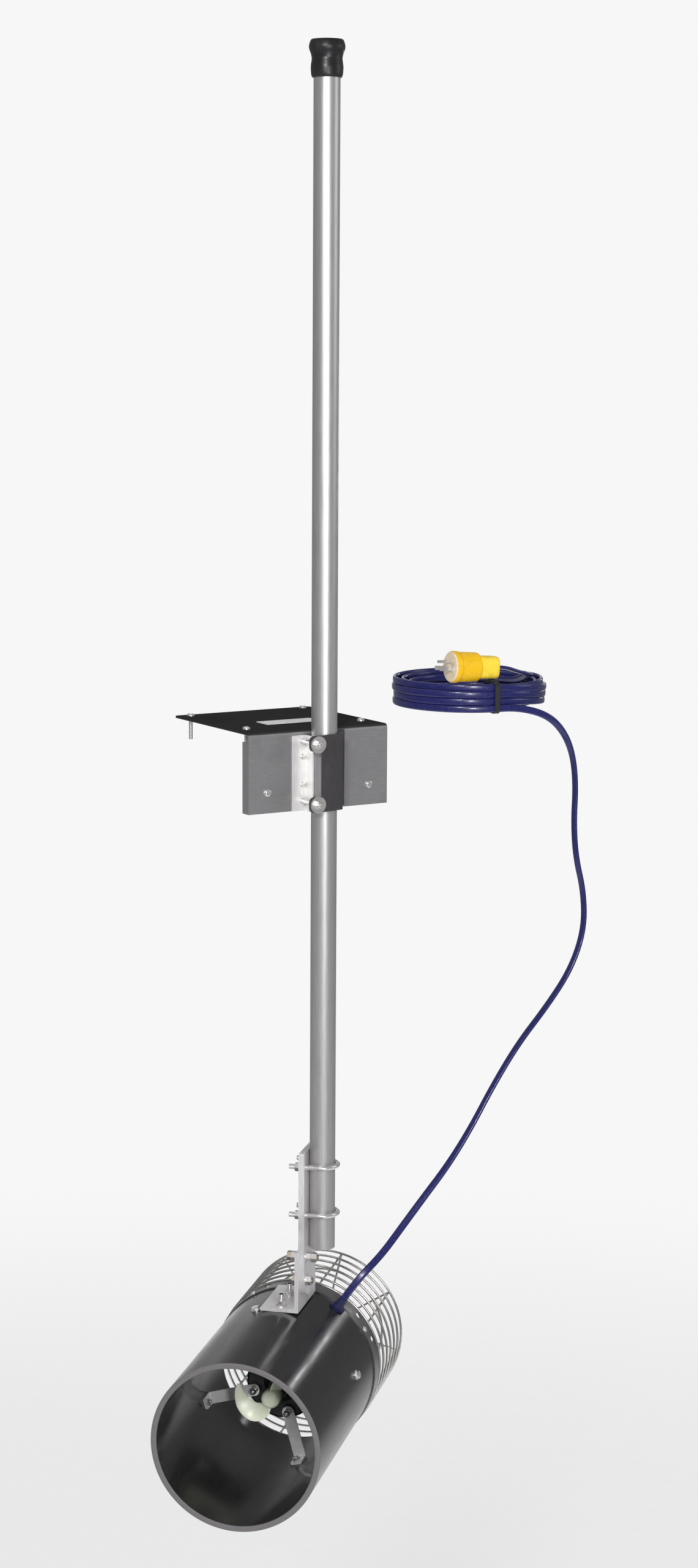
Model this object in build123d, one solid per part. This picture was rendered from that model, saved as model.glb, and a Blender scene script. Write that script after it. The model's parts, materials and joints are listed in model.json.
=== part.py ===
from build123d import *
import os
from math import cos, pi, radians, sin, sqrt, tan

# Dock-mounted water circulator. Millimetres, +Z up, +X along the dock edge, +Y into the dock.
# The origin is the centre of the four deck screws, on the underside of the deck flange.

# Dock bracket
SHEET = 3.2
BRACKET_WIDTH = 255.5
FLANGE_DEPTH = 250.5
FACE_HEIGHT = 129.0
BEND_RADIUS = 7.0
RETURN_DEPTH = 20.0
RETURN_DROP = 12.0
DECK_SCREW_SPAN_X = 212.0
DECK_SCREW_SPAN_Y = 187.0
DECK_SCREW_BACK_INSET = 17.0
SCREW_SHANK = 6.3
SCREW_NECK = 7.1
SCREW_NECK_PAST_SHEET = 1.0
SCREW_HEAD = 12.5
SCREW_HEAD_HEIGHT = 4.2
DECK_SCREW_LENGTH = 38.0
FACE_SCREW_SPAN = 187.0
FACE_SCREW_DROP = 93.0
FACE_SCREW_LENGTH = 45.0
LABEL_LENGTH = 100.0
LABEL_DEPTH = 38.0
LABEL_THICKNESS = 0.8
LABEL_FROM_FACE = 97.0

# Pole
POLE_DIAMETER = 41.3
POLE_WALL = 2.8
POLE_LENGTH = 1905.0
POLE_OFFSET_X = -2.7
POLE_TOP = 1062.0
POLE_GAP = 0.35
CAP_WALL = 2.6
CAP_SKIRT = 57.0
CAP_TOP = 3.0
CAP_SWELLS = ((4.8, 11.0), (2.2, 20.0), (0.4, 29.0), (1.8, 41.0), (1.2, 52.0))

# Pole clamp on the dock bracket
GUIDE_LEG = 25.4
GUIDE_SHEET = 2.4
GUIDE_TOP = -5.0
GUIDE_SCREW_INSET = 18.0
GUIDE_SCREW_DROPS = (39.5, 84.2)
GUIDE_SCREW_SHANK = 5.0
GUIDE_SCREW_HEAD = 9.0
JAW_SHEET = 3.2
JAW_TILT = 12.5
JAW_TOP = -0.5
JAW_HEIGHT = 122.0
JAW_FOOT = 24.0
JAW_BEND = 4.0
LUG_REACH = 15.0
LUG_HEIGHT = 25.0
CLAMP_BOLT = 8.0
CLAMP_BOLT_DROPS = (14.5, 110.3)
CLAMP_BOLT_GAP = 0.5
CLAMP_WASHER = 27.0
JAW_SCREW_DROPS = (32.0, 92.0)

# Swivelling head: bar, U-bolts and angle that carry the tube
HEAD_HEADING = 44.5
CREST_BELOW_POLE = 103.8
BAR_WIDTH = 76.2
BAR_THICKNESS = 9.5
BAR_TOP = 267.0
BAR_ROUND_CENTRE = 61.0
ANGLE_FOOT = 63.5
ANGLE_LEG = 101.6
ANGLE_THICKNESS = 6.35
ANGLE_LENGTH = 114.3
ANGLE_FROM_REAR = 20.7
ANGLE_SIDE = 37.4
BAR_BOLT = 9.5
BAR_BOLT_END = 1.8
BAR_HEAD_HEIGHT = 6.4
BAR_NUT_FLATS = 14.3
BAR_NUT_HEIGHT = 8.0
BAR_NUT_PITCH = 8.4
BAR_BOLT_INSET = 14.0
BAR_BOLT_HEIGHTS = (53.0, 92.0)
U_BOLT_ROD = 7.94
U_BOLT_HALF_SPAN = 25.4
U_BOLT_HEIGHTS = (162.0, 242.0)
U_BOLT_TAIL = 19.0
FOOT_BOLT = 7.94
FOOT_BOLT_INSET = 13.0
FOOT_BOLT_PITCH = 54.0
FOOT_BOLT_TAIL = 20.0
WASHER_THICKNESS = 1.6
HOLE_GAP = 0.35
SHAFT_CLEARANCE = 0.05

# Housing tube
TUBE_DIAMETER = 273.05
TUBE_WALL = 9.27
TUBE_LENGTH = 381.0
RIM_CHAMFER = 1.2

# Motor and its struts
STRUT_ANGLES = (-105.5, -15.5, 74.5, 164.5)
STRUT_WIDTH = 20.0
STRUT_THICKNESS = 3.0
STRUT_FACE = 278.0
STRUT_FOOT = 32.0
STRUT_BOLT = 6.35
STRUT_BOLT_INSET = 10.0
STRUT_WALL_GAP = 0.45
TIE_CIRCLE = 47.0
TIE_BOLT = 6.35
MOTOR_RADIUS = 60.0
CAN_WALL = 1.5
BELL_BOSS = 4.0
BELL_LENGTH = 22.0
CAN_LENGTH = 154.0
SPIGOT = 8.0
NOSE_RADIUS = 24.0
NOSE_REACH = 19.0
SHAFT_RADIUS = 6.35
BEARING_RADIUS = 16.0
BEARING_WIDTH = 10.0
STATOR_LENGTH = 110.0
STATOR_BORE = 30.0
ROTOR_GAP = 0.6
SEAL_RADIUS = 14.0
SEAL_LENGTH = 6.0

# Propeller
PROPELLER_RADIUS = 63.0
HUB_RADIUS = 15.5
HUB_LENGTH = 30.0
HUB_START = 206.0
HUB_BORE_DEPTH = 22.0
PIN_INSET = 9.0
BLADE_ROOT_ANGLE = -158.0
PIN_DIAMETER = 4.0

# Intake guard
WIRE_RADIUS = 2.0
ROD_RADIUS = 1.7
ROD_BEND = 4.0
ROD_SETBACK = 2.0
ROD_TIP = 3.0
WELD_GAP = 0.03
GUARD_FIRST_RING = 23.0
GUARD_RING_PITCH = 27.3
GUARD_RINGS = 7
GUARD_RODS = 8
REAR_RING_RADII = (35.0, 70.0, 105.0)
BAND_INNER_GAP = 0.2
BAND_THICKNESS = 2.0
BAND_OVERLAP = 12.0
BAND_LENGTH = 30.0
BAND_SLOT_LENGTH = 14.0
BAND_SLOT_WIDTH = 10.0
BAND_SLOT_PLACE = 20.0
BAND_SLOT_TURN = 9.5
GUARD_SCREW_ANGLES = (58.5, 148.5, -121.5, -31.5)
GUARD_SCREW_SHANK = 4.8
GUARD_SCREW_HEAD = 9.5

# Supply cord
CORD_DIAMETER = 9.5
CORD_FIRST_RUN = 42.0
CORD_EXIT_ANGLE = 34.0
CORD_EXIT_FROM_REAR = 29.0
BUSHING_NECK = 18.0
BUSHING_FLANGE = 26.0
BUSHING_LENGTH = 21.5
BUSHING_TIP = 13.0
GLAND_TOP = 76.0
COIL_CENTRE = (389.0, 18.0)
COIL_OUTER = 130.0
COIL_INNER = 82.0
COIL_HEIGHT = 50.0
COIL_EDGE = 9.0
COIL_LIFT = 1.5
DECK_LEVEL = 0.0
TIE_ANGLE = -102.0
TIE_WIDTH = 9.0
TIE_BAND = 1.4
TIE_INNER_GAP = 0.4
PLUG_PLACE = (293.0, -69.0)
PLUG_HEADING = -5.0
PLUG_DROOP = 3.0
PLUG_FACE_RADIUS = 25.0
PLUG_FACE = 3.0
PLUG_RADIUS = 26.5
PLUG_REAR_RADIUS = 24.5
PLUG_BODY = 47.0
PLUG_RIM = 9.0
PLUG_TAIL = 36.0
PLUG_TAIL_SIZE = 38.0
PLUG_REST_GAP = 0.2
PRONG_LENGTH = 23.0
PRONG_CIRCLE = 8.5
GROUND_PIN = 4.8
PLUG_LEAD_RUN = 18.0
PLUG_LEAD_ROUTE = [(419, -79, 66), (441, -74, 59.5), (460, -61, 56), (474, -41, 53.5), (482, -20, 49)]

# The free cord from the bushing to the coil, chosen by hand
CORD_ROUTE = [
    (125, -139, -885),
    (169, -131, -847),
    (212, -127, -806),
    (264, -125, -755),
    (310, -124, -697),
    (352, -124, -632),
    (403, -125, -563),
    (461, -125, -505),
    (509, -126, -446),
    (535, -127, -379),
    (532, -127, -312),
    (515, -126, -252),
    (511, -124, -190),
    (514, -124, -130),
    (507, -124, -76),
    (486, -125, -34),
    (451, -125, -4),
    (399, -114, 10),
]
CORD_SPLIT = 9

# Solids that stand on z = 0
STANDING = (Align.CENTER, Align.CENTER, Align.MIN)

# Values worked out from the sizes above
FLANGE_TOP = SHEET
FACE_BOTTOM = FLANGE_TOP - FACE_HEIGHT
FLANGE_BACK = DECK_SCREW_SPAN_Y / 2 + DECK_SCREW_BACK_INSET
FACE_FRONT = FLANGE_BACK - FLANGE_DEPTH
FACE_BACK = FACE_FRONT + SHEET
POLE_RADIUS = POLE_DIAMETER / 2
POLE_Y = FACE_FRONT - POLE_GAP - POLE_RADIUS
POLE_BOTTOM = POLE_TOP - POLE_LENGTH
ANGLE_START = TUBE_LENGTH - ANGLE_FROM_REAR - ANGLE_LENGTH
CORD_EXIT_PLACE = TUBE_LENGTH - CORD_EXIT_FROM_REAR
GUIDE_INNER = POLE_OFFSET_X - POLE_RADIUS - POLE_GAP
GUIDE_LEFT = GUIDE_INNER - GUIDE_LEG
CLAMP_BOLT_X = GUIDE_INNER - GUIDE_SHEET - CLAMP_BOLT_GAP - CLAMP_BOLT / 2
JAW_RIGHT = POLE_OFFSET_X + POLE_RADIUS + POLE_GAP
JAW_FACE_GAP = POLE_RADIUS + POLE_GAP
TUBE_RADIUS = TUBE_DIAMETER / 2
TUBE_BORE = TUBE_RADIUS - TUBE_WALL
HEAD_POLE_X = ANGLE_SIDE + BAR_THICKNESS + 0.1 + POLE_RADIUS
HEAD_POLE_Y = ANGLE_START + BAR_WIDTH / 2
LEG_LEFT = ANGLE_SIDE - ANGLE_THICKNESS
FOOT_LEFT = ANGLE_SIDE - ANGLE_FOOT
FOOT_MIDDLE = (FOOT_LEFT + ANGLE_SIDE) / 2
FOOT_TOP = TUBE_RADIUS + ANGLE_THICKNESS
STRUT_BACK = STRUT_FACE + STRUT_THICKNESS
BELL_FRONT = STRUT_BACK + BELL_BOSS
CAN_FRONT = STRUT_BACK + BELL_LENGTH
CAN_BACK = CAN_FRONT + CAN_LENGTH
BELL_BACK = CAN_BACK + BELL_LENGTH - BELL_BOSS
NOSE_FRONT = STRUT_BACK - NOSE_REACH
SEAL_FRONT = NOSE_FRONT - SEAL_LENGTH
STATOR_FRONT = (CAN_FRONT + CAN_BACK - STATOR_LENGTH) / 2
FRONT_BEARING = CAN_FRONT - BEARING_WIDTH - 2.0
REAR_BEARING = CAN_BACK + 2.0
BAND_FRONT = TUBE_LENGTH - BAND_OVERLAP
GUARD_REAR = TUBE_LENGTH + GUARD_FIRST_RING + GUARD_RING_PITCH * (GUARD_RINGS - 1) + ROD_BEND
ROD_PLACE = TUBE_RADIUS + BAND_INNER_GAP - WELD_GAP - ROD_RADIUS
GUARD_RING_RADIUS = ROD_PLACE + ROD_RADIUS + WELD_GAP + WIRE_RADIUS


def head_place():
    """Place of the head's own frame: X right of the tube, Y from outlet to intake, Z up from its axis."""
    turn = radians(HEAD_HEADING)
    x = POLE_OFFSET_X - HEAD_POLE_X * cos(turn) - HEAD_POLE_Y * sin(turn)
    y = POLE_Y + HEAD_POLE_X * sin(turn) - HEAD_POLE_Y * cos(turn)
    z = POLE_BOTTOM - CREST_BELOW_POLE - TUBE_RADIUS
    return Location((x, y, z), (0, 0, -HEAD_HEADING))


HEAD = head_place()


def axial(radius, start, end, x=0.0, z=0.0):
    """Round bar along the head's Y axis."""
    middle = (start + end) / 2
    return Pos(x, middle, z) * Rot(90, 0, 0) * Cylinder(radius, abs(end - start))


def span(x0, x1, y0, y1, z0, z1):
    """Box between two corners."""
    centre = Pos((x0 + x1) / 2, (y0 + y1) / 2, (z0 + z1) / 2)
    return centre * Box(x1 - x0, y1 - y0, z1 - z0)


def radial(angle, place, radius):
    """Location on the tube at an angle from its crest, with Z pointing away from the tube's axis."""
    turn = radians(angle)
    outward = (sin(turn), 0, cos(turn))
    origin = (radius * sin(turn), place, radius * cos(turn))
    return Plane(origin=origin, x_dir=(0, 1, 0), z_dir=outward).location


def spun(points):
    """Solid of revolution about the head's Y axis from (radius, place) points."""
    outline = [(radius, place, 0) for radius, place in points]
    return revolve(make_face(Polyline(*outline, close=True)), Axis.Y)


def hexagon(across_flats, height):
    """Hexagonal prism that stands on the plane z = 0."""
    return extrude(RegularPolygon(across_flats / 2, 6, major_radius=False), height)


def disc(radius, height, bore=0.0):
    """Flat washer that stands on the plane z = 0."""
    plate = Pos(0, 0, height / 2) * Cylinder(radius, height)
    if bore:
        plate -= Pos(0, 0, height / 2) * Cylinder(bore, height)
    return plate


def hex_nut(across_flats, height, bore):
    """Hexagonal nut with chamfered corners that stands on the plane z = 0."""
    corner = across_flats / sqrt(3)
    blank = hexagon(across_flats, height)
    rounded = chamfer(disc(corner, height).edges().group_by(Axis.Z)[-1], corner * 0.12)
    return (blank & rounded) - disc(bore, height)


def hex_bolt(diameter, length, across_flats, head_height):
    """Bolt with its head above z = 0 and its shank below."""
    return hexagon(across_flats, head_height) + Pos(0, 0, -length / 2) * Cylinder(diameter / 2, length)


def domed_screw(diameter, length, head, head_height):
    """Screw with a domed head above z = 0 and its shank below."""
    dome = fillet(disc(head / 2, head_height).edges().group_by(Axis.Z)[-1], head_height * 0.7)
    return dome + Pos(0, 0, -length / 2) * Cylinder(diameter / 2, length)


def group(solids):
    """Separate solids that make one sub-part."""
    return Compound(children=[solid for item in solids for solid in item.solids()])


def out_of_face(x, z, depth):
    """Location on a plane in front of the bracket's face, with Z pointing away from the dock."""
    return Plane(origin=(x, FACE_FRONT - depth, z), x_dir=(1, 0, 0), z_dir=(0, -1, 0)).location


def offset_path(points, thickness):
    """Closed outline of a bent strip, from the points of one of its faces."""
    other = []
    for i, (x, y) in enumerate(points):
        before = points[max(i - 1, 0)]
        after = points[min(i + 1, len(points) - 1)]
        start = Vector(x - before[0], y - before[1]) if i else Vector(after[0] - x, after[1] - y)
        end = Vector(after[0] - x, after[1] - y) if i < len(points) - 1 else start
        a, b = start.normalized(), end.normalized()
        normal = Vector(-a.Y - b.Y, a.X + b.X).normalized()
        scale = thickness / normal.dot(Vector(-a.Y, a.X))
        other.append((x + normal.X * scale, y + normal.Y * scale))
    return points + other[::-1]


# Dock bracket


def deck_screw_places():
    half_x, half_y = DECK_SCREW_SPAN_X / 2, DECK_SCREW_SPAN_Y / 2
    return [(x, y) for x in (-half_x, half_x) for y in (-half_y, half_y)]


def face_screw_places():
    z = FLANGE_TOP - FACE_SCREW_DROP - SHEET
    return [(x, z) for x in (-FACE_SCREW_SPAN / 2, FACE_SCREW_SPAN / 2)]


def guide_screw_places():
    x = GUIDE_LEFT + GUIDE_SCREW_INSET
    return [(x, -drop) for drop in GUIDE_SCREW_DROPS]


def clamp_bolt_places():
    return [(CLAMP_BOLT_X, -drop) for drop in CLAMP_BOLT_DROPS]


def jaw_screw_places():
    x = JAW_RIGHT + JAW_SHEET + JAW_FOOT / 2
    return [(x, -drop) for drop in JAW_SCREW_DROPS]


def dock_bracket():
    """Bent sheet: a flange that lies on the deck, a face and two returns that stand off the dock."""
    half = BRACKET_WIDTH / 2
    line = [(FLANGE_BACK, 0), (FACE_BACK, 0), (FACE_BACK, FACE_BOTTOM), (FACE_FRONT, FACE_BOTTOM)]
    line += [(FACE_FRONT, FLANGE_TOP), (FLANGE_BACK, FLANGE_TOP)]
    section = Plane.YZ * make_face(Polyline(*line, close=True))
    sheet = Pos(-half, 0, 0) * extrude(section, BRACKET_WIDTH, dir=(1, 0, 0))
    for y, z, size in ((FACE_FRONT, FLANGE_TOP, BEND_RADIUS), (FACE_BACK, 0, BEND_RADIUS - SHEET)):
        bend = sheet.edges().filter_by(Axis.X).sort_by_distance((0, y, z))[0]
        sheet = fillet(bend, size)
    sheet = fillet(sheet.edges().filter_by(Axis.Z).group_by(Axis.Y)[-1], BEND_RADIUS)
    inside = half - SHEET
    for x0, x1 in ((-half, -inside), (inside, half)):
        sheet += span(x0, x1, FACE_FRONT, FACE_FRONT + RETURN_DEPTH, FACE_BOTTOM, -RETURN_DROP)
    for x, y in deck_screw_places():
        sheet -= Pos(x, y, SHEET / 2) * Cylinder(SCREW_NECK / 2 + HOLE_GAP, SHEET * 2)
    holes = [(face_screw_places(), SCREW_NECK), (guide_screw_places(), GUIDE_SCREW_SHANK)]
    holes += [(clamp_bolt_places(), CLAMP_BOLT), (jaw_screw_places(), GUIDE_SCREW_SHANK)]
    for places, shank in holes:
        for x, z in places:
            sheet -= out_of_face(x, z, 0) * Cylinder(shank / 2 + HOLE_GAP, SHEET * 3)
    return sheet


def wood_screw(length):
    """Domed wood screw whose thicker neck fills the sheet's hole and ends just behind the sheet."""
    neck = SHEET + SCREW_NECK_PAST_SHEET
    screw = domed_screw(SCREW_SHANK, length, SCREW_HEAD, SCREW_HEAD_HEIGHT)
    return screw + Pos(0, 0, -neck / 2) * Cylinder(SCREW_NECK / 2, neck)


def deck_screws():
    screw = wood_screw(DECK_SCREW_LENGTH)
    return group(Pos(x, y, FLANGE_TOP) * screw for x, y in deck_screw_places())


def face_screws():
    screw = wood_screw(FACE_SCREW_LENGTH)
    return group(out_of_face(x, z, 0) * screw for x, z in face_screw_places())


def label_plate():
    y = FACE_FRONT + LABEL_FROM_FACE
    plate = Pos(0, y, FLANGE_TOP + LABEL_THICKNESS / 2) * Box(LABEL_LENGTH, LABEL_DEPTH, LABEL_THICKNESS)
    return fillet(plate.edges().filter_by(Axis.Z), LABEL_DEPTH / 12)


# Pole clamp


def pole_guide():
    """Angle that stands beside the pole, with one leg flat on the bracket's face."""
    outline = [(GUIDE_LEFT, FACE_FRONT), (GUIDE_INNER, FACE_FRONT), (GUIDE_INNER, FACE_FRONT - GUIDE_LEG)]
    outline += [(GUIDE_INNER - GUIDE_SHEET, y) for y in (FACE_FRONT - GUIDE_LEG, FACE_FRONT - GUIDE_SHEET)]
    outline += [(GUIDE_LEFT, FACE_FRONT - GUIDE_SHEET)]
    blank = extrude(make_face(Polyline(*outline, close=True)), GUIDE_TOP - FACE_BOTTOM)
    guide = Pos(0, 0, FACE_BOTTOM) * blank
    for places, shank in ((guide_screw_places(), GUIDE_SCREW_SHANK), (clamp_bolt_places(), CLAMP_BOLT)):
        for x, z in places:
            guide -= out_of_face(x, z, 0) * Cylinder(shank / 2 + HOLE_GAP, GUIDE_SHEET * 3)
    return guide


def guide_screws():
    """Button-headed screws through the guide's flat leg and the face."""
    length = GUIDE_SHEET + SHEET + 9.0
    screw = domed_screw(GUIDE_SCREW_SHANK, length, GUIDE_SCREW_HEAD, 3.0)
    return group(out_of_face(x, z, GUIDE_SHEET) * screw for x, z in guide_screw_places())


def back_nuts(places):
    """Nuts behind the bracket's face."""
    nut = hex_nut(9.0, 4.5, GUIDE_SCREW_SHANK / 2)
    return group(out_of_face(x, z, -SHEET - 4.5) * nut for x, z in places)


def jaw_line():
    """The jaw's inner face in plan: foot, return beside the pole, tilted plate and lug."""
    slope = tan(radians(JAW_TILT))
    reach = JAW_FACE_GAP / cos(radians(JAW_TILT))
    foot_end = JAW_RIGHT + JAW_SHEET + JAW_FOOT
    corner_y = POLE_Y - reach + (JAW_RIGHT - POLE_OFFSET_X) * slope
    knee_y = POLE_Y - reach + (GUIDE_INNER - POLE_OFFSET_X) * slope
    lug_end = CLAMP_BOLT_X - LUG_REACH
    foot = [(foot_end, FACE_FRONT), (JAW_RIGHT, FACE_FRONT)]
    return foot + [(JAW_RIGHT, corner_y), (GUIDE_INNER, knee_y), (lug_end, knee_y)]


def clamp_jaw():
    """Bent strap that closes the clamp in front of the pole and ends in two lugs."""
    line = jaw_line()
    outline = make_face(Polyline(*offset_path(line, JAW_SHEET), close=True))
    blank = Pos(0, 0, JAW_TOP - JAW_HEIGHT) * extrude(outline, JAW_HEIGHT)
    lug_x, lug_y = line[-1]
    low, high = JAW_TOP - JAW_HEIGHT + LUG_HEIGHT, JAW_TOP - LUG_HEIGHT
    window = span(lug_x - 5, line[3][0], lug_y - 12, lug_y + 12, low, high)
    blank -= window
    upright = [edge for edge in blank.edges().filter_by(Axis.Z) if edge.length > JAW_HEIGHT - 1]
    bends = [edge for edge in upright if edge.center().X > line[3][0] + 10]
    outer = [e for e in bends if e.center().Y < line[2][1] and e.center().X > JAW_RIGHT]
    blank = fillet(outer, JAW_BEND)
    lug_corners = [e for e in blank.edges().filter_by(Axis.Y) if abs(e.center().X - lug_x) < 0.01]
    blank = fillet(lug_corners, LUG_HEIGHT / 3)
    for x, z in clamp_bolt_places():
        blank -= out_of_face(x, z, FACE_FRONT - lug_y) * Cylinder(CLAMP_BOLT / 2 + HOLE_GAP, JAW_SHEET * 4)
    for x, z in jaw_screw_places():
        blank -= out_of_face(x, z, 0) * Cylinder(GUIDE_SCREW_SHANK / 2 + HOLE_GAP, JAW_SHEET * 3)
    return blank


def lug_front():
    """How far the lugs' front stands out of the bracket's face."""
    return FACE_FRONT - jaw_line()[-1][1] + JAW_SHEET


def clamp_bolts():
    """Carriage bolts from behind the face, through the guide and the jaw's lugs."""
    reach = lug_front() + 2 * WASHER_THICKNESS + 9.5
    parts = []
    for x, z in clamp_bolt_places():
        dome = fillet(disc(CLAMP_BOLT, 4.0).edges().group_by(Axis.Z)[0], 2.5)
        head = out_of_face(x, z, -SHEET - 4.0) * dome
        shank = out_of_face(x, z, (reach - SHEET) / 2) * Cylinder(CLAMP_BOLT / 2, reach + SHEET)
        parts.append(head + shank)
    return group(parts)


def clamp_washers():
    washer = disc(CLAMP_WASHER / 2, WASHER_THICKNESS, CLAMP_BOLT / 2)
    return group(out_of_face(x, z, lug_front()) * washer for x, z in clamp_bolt_places())


def clamp_nuts():
    nut = hex_nut(12.7, 6.7, CLAMP_BOLT / 2)
    return group(out_of_face(x, z, lug_front() + WASHER_THICKNESS) * nut for x, z in clamp_bolt_places())


def jaw_screws():
    length = JAW_SHEET + SHEET + 9.0
    screw = domed_screw(GUIDE_SCREW_SHANK, length, GUIDE_SCREW_HEAD, 3.0)
    return group(out_of_face(x, z, JAW_SHEET) * screw for x, z in jaw_screw_places())


# Pole


def pole():
    tube = Cylinder(POLE_RADIUS, POLE_LENGTH) - Cylinder(POLE_RADIUS - POLE_WALL, POLE_LENGTH)
    return Pos(POLE_OFFSET_X, POLE_Y, POLE_BOTTOM + POLE_LENGTH / 2) * tube


def pole_cap():
    """Soft cap with a flared lip, a waist and a rolled skirt."""
    skirt = POLE_TOP + CAP_TOP - CAP_SKIRT
    top = POLE_TOP + CAP_TOP
    bore = POLE_RADIUS
    waist = POLE_RADIUS + CAP_WALL
    outline = Polyline((0, top), (waist + 2.0, top))
    swells = [(waist + swell, top - drop) for swell, drop in CAP_SWELLS]
    lip = Spline((waist + 2.0, top), *swells, (waist - 0.9, skirt))
    inside = Polyline((waist - 0.9, skirt), (bore, skirt), (bore, POLE_TOP), (0, POLE_TOP), (0, top))
    face = make_face([outline, lip, inside])
    cap = revolve(Rot(90, 0, 0) * face, Axis.Z)
    return Pos(POLE_OFFSET_X, POLE_Y, 0) * cap


# Bar, U-bolts and angle


def bar_bolt_places():
    return [(ANGLE_START + BAR_BOLT_INSET, TUBE_RADIUS + height) for height in BAR_BOLT_HEIGHTS]


def foot_bolt_places():
    first = ANGLE_START + FOOT_BOLT_INSET
    return [(FOOT_MIDDLE, first), (FOOT_MIDDLE, first + FOOT_BOLT_PITCH)]


def across(x, y, z):
    """Location whose Z points along the head's +X."""
    return Plane(origin=(x, y, z), x_dir=(0, 1, 0), z_dir=(1, 0, 0)).location


def mount_bar():
    """Flat bar with a round lower end, held flat against the pole."""
    middle = HEAD_POLE_Y
    low, top = TUBE_RADIUS + BAR_ROUND_CENTRE, TUBE_RADIUS + BAR_TOP
    half = BAR_WIDTH / 2
    x0, x1 = ANGLE_SIDE, ANGLE_SIDE + BAR_THICKNESS
    bar = span(x0, x1, middle - half, middle + half, low, top)
    bar += across((x0 + x1) / 2, middle, low) * Cylinder(half, BAR_THICKNESS)
    bar = fillet(bar.edges().filter_by(Axis.X).group_by(Axis.Z)[-1], 2.0)
    for y, z in bar_bolt_places():
        bar -= across(x0, y, z) * Cylinder(BAR_BOLT / 2 + HOLE_GAP, BAR_THICKNESS * 3)
    for y, z in u_bolt_legs():
        bar -= across(x0, y, z) * Cylinder(U_BOLT_ROD / 2 + HOLE_GAP, BAR_THICKNESS * 3)
    return HEAD * bar


def mount_angle():
    """Angle whose foot lies on the tube's crest and whose leg carries the bar."""
    low, high = TUBE_RADIUS, TUBE_RADIUS + ANGLE_LEG
    outline = [(FOOT_LEFT, low), (ANGLE_SIDE, low), (ANGLE_SIDE, high)]
    outline += [(LEG_LEFT, high), (LEG_LEFT, FOOT_TOP), (FOOT_LEFT, FOOT_TOP)]
    section = make_face(Polyline(*[(x, ANGLE_START, z) for x, z in outline], close=True))
    angle = extrude(section, ANGLE_LENGTH, dir=(0, 1, 0))
    inner_corner = (LEG_LEFT, ANGLE_START + ANGLE_LENGTH / 2, FOOT_TOP)
    root = angle.edges().filter_by(Axis.Y).sort_by_distance(inner_corner)[0]
    angle = fillet(root, 5.0)
    toes = [(LEG_LEFT, high), (FOOT_LEFT, FOOT_TOP)]
    for x, z in toes:
        toe = angle.edges().filter_by(Axis.Y).sort_by_distance((x, ANGLE_START + ANGLE_LENGTH / 2, z))[0]
        angle = fillet(toe, 2.5)
    for y, z in bar_bolt_places():
        angle -= across(LEG_LEFT, y, z) * Cylinder(BAR_BOLT / 2 + HOLE_GAP, ANGLE_THICKNESS * 4)
    for x, y in foot_bolt_places():
        angle -= Pos(x, y, TUBE_RADIUS) * Cylinder(FOOT_BOLT / 2 + HOLE_GAP, ANGLE_THICKNESS * 4)
    return HEAD * angle


def bar_bolt_nuts():
    """Nuts under the head and beyond the bar, for the lower bolt and then the upper one."""
    return ((0, 1), (1, 2))


def bar_bolts():
    """Bolts through the angle's leg and the bar, heads on the left."""
    grip = ANGLE_THICKNESS + BAR_THICKNESS + WASHER_THICKNESS + BAR_BOLT_END
    parts = []
    for (y, z), (under, beyond) in zip(bar_bolt_places(), bar_bolt_nuts()):
        bolt = hex_bolt(BAR_BOLT, grip + (under + beyond) * BAR_NUT_PITCH, BAR_NUT_FLATS, BAR_HEAD_HEIGHT)
        parts.append(across(LEG_LEFT - under * BAR_NUT_PITCH, y, z) * Rot(180, 0, 0) * bolt)
    return HEAD * group(parts)


def bar_washers():
    face = ANGLE_SIDE + BAR_THICKNESS
    washer = disc(10.0, WASHER_THICKNESS, BAR_BOLT / 2)
    return HEAD * group(across(face, y, z) * washer for y, z in bar_bolt_places())


def bar_nuts():
    """One nut on the lower bolt; on the upper one a nut and a jam nut, and a spacing nut under the head."""
    seat = ANGLE_SIDE + BAR_THICKNESS + WASHER_THICKNESS
    nut = hex_nut(BAR_NUT_FLATS, BAR_NUT_HEIGHT, BAR_BOLT / 2)
    parts = []
    for (y, z), (under, beyond) in zip(bar_bolt_places(), bar_bolt_nuts()):
        places = [LEG_LEFT - (i + 1) * BAR_NUT_PITCH for i in range(under)]
        places += [seat + i * BAR_NUT_PITCH for i in range(beyond)]
        parts += [across(x, y, z) * nut for x in places]
    return HEAD * group(parts)


def u_bolt_legs():
    levels = [TUBE_RADIUS + height for height in U_BOLT_HEIGHTS]
    return [(HEAD_POLE_Y + side * U_BOLT_HALF_SPAN, z) for z in levels for side in (-1, 1)]


def u_bolts():
    """Round rods bent round the pole, with both ends through the bar."""
    parts = []
    inside = U_BOLT_HALF_SPAN - U_BOLT_ROD / 2
    bend_x = HEAD_POLE_X + POLE_RADIUS + POLE_GAP / 2 - inside
    for height in U_BOLT_HEIGHTS:
        z = TUBE_RADIUS + height
        near, far = HEAD_POLE_Y - U_BOLT_HALF_SPAN, HEAD_POLE_Y + U_BOLT_HALF_SPAN
        start = Line((U_BOLT_TAIL, near, z), (bend_x, near, z))
        bend = ThreePointArc((bend_x, near, z), (bend_x + U_BOLT_HALF_SPAN, HEAD_POLE_Y, z), (bend_x, far, z))
        end = Line((bend_x, far, z), (U_BOLT_TAIL, far, z))
        section = Plane(origin=(U_BOLT_TAIL, near, z), z_dir=(1, 0, 0)) * Circle(U_BOLT_ROD / 2)
        parts.append(sweep(section, path=Wire([start, bend, end])))
    return HEAD * group(parts)


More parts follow.
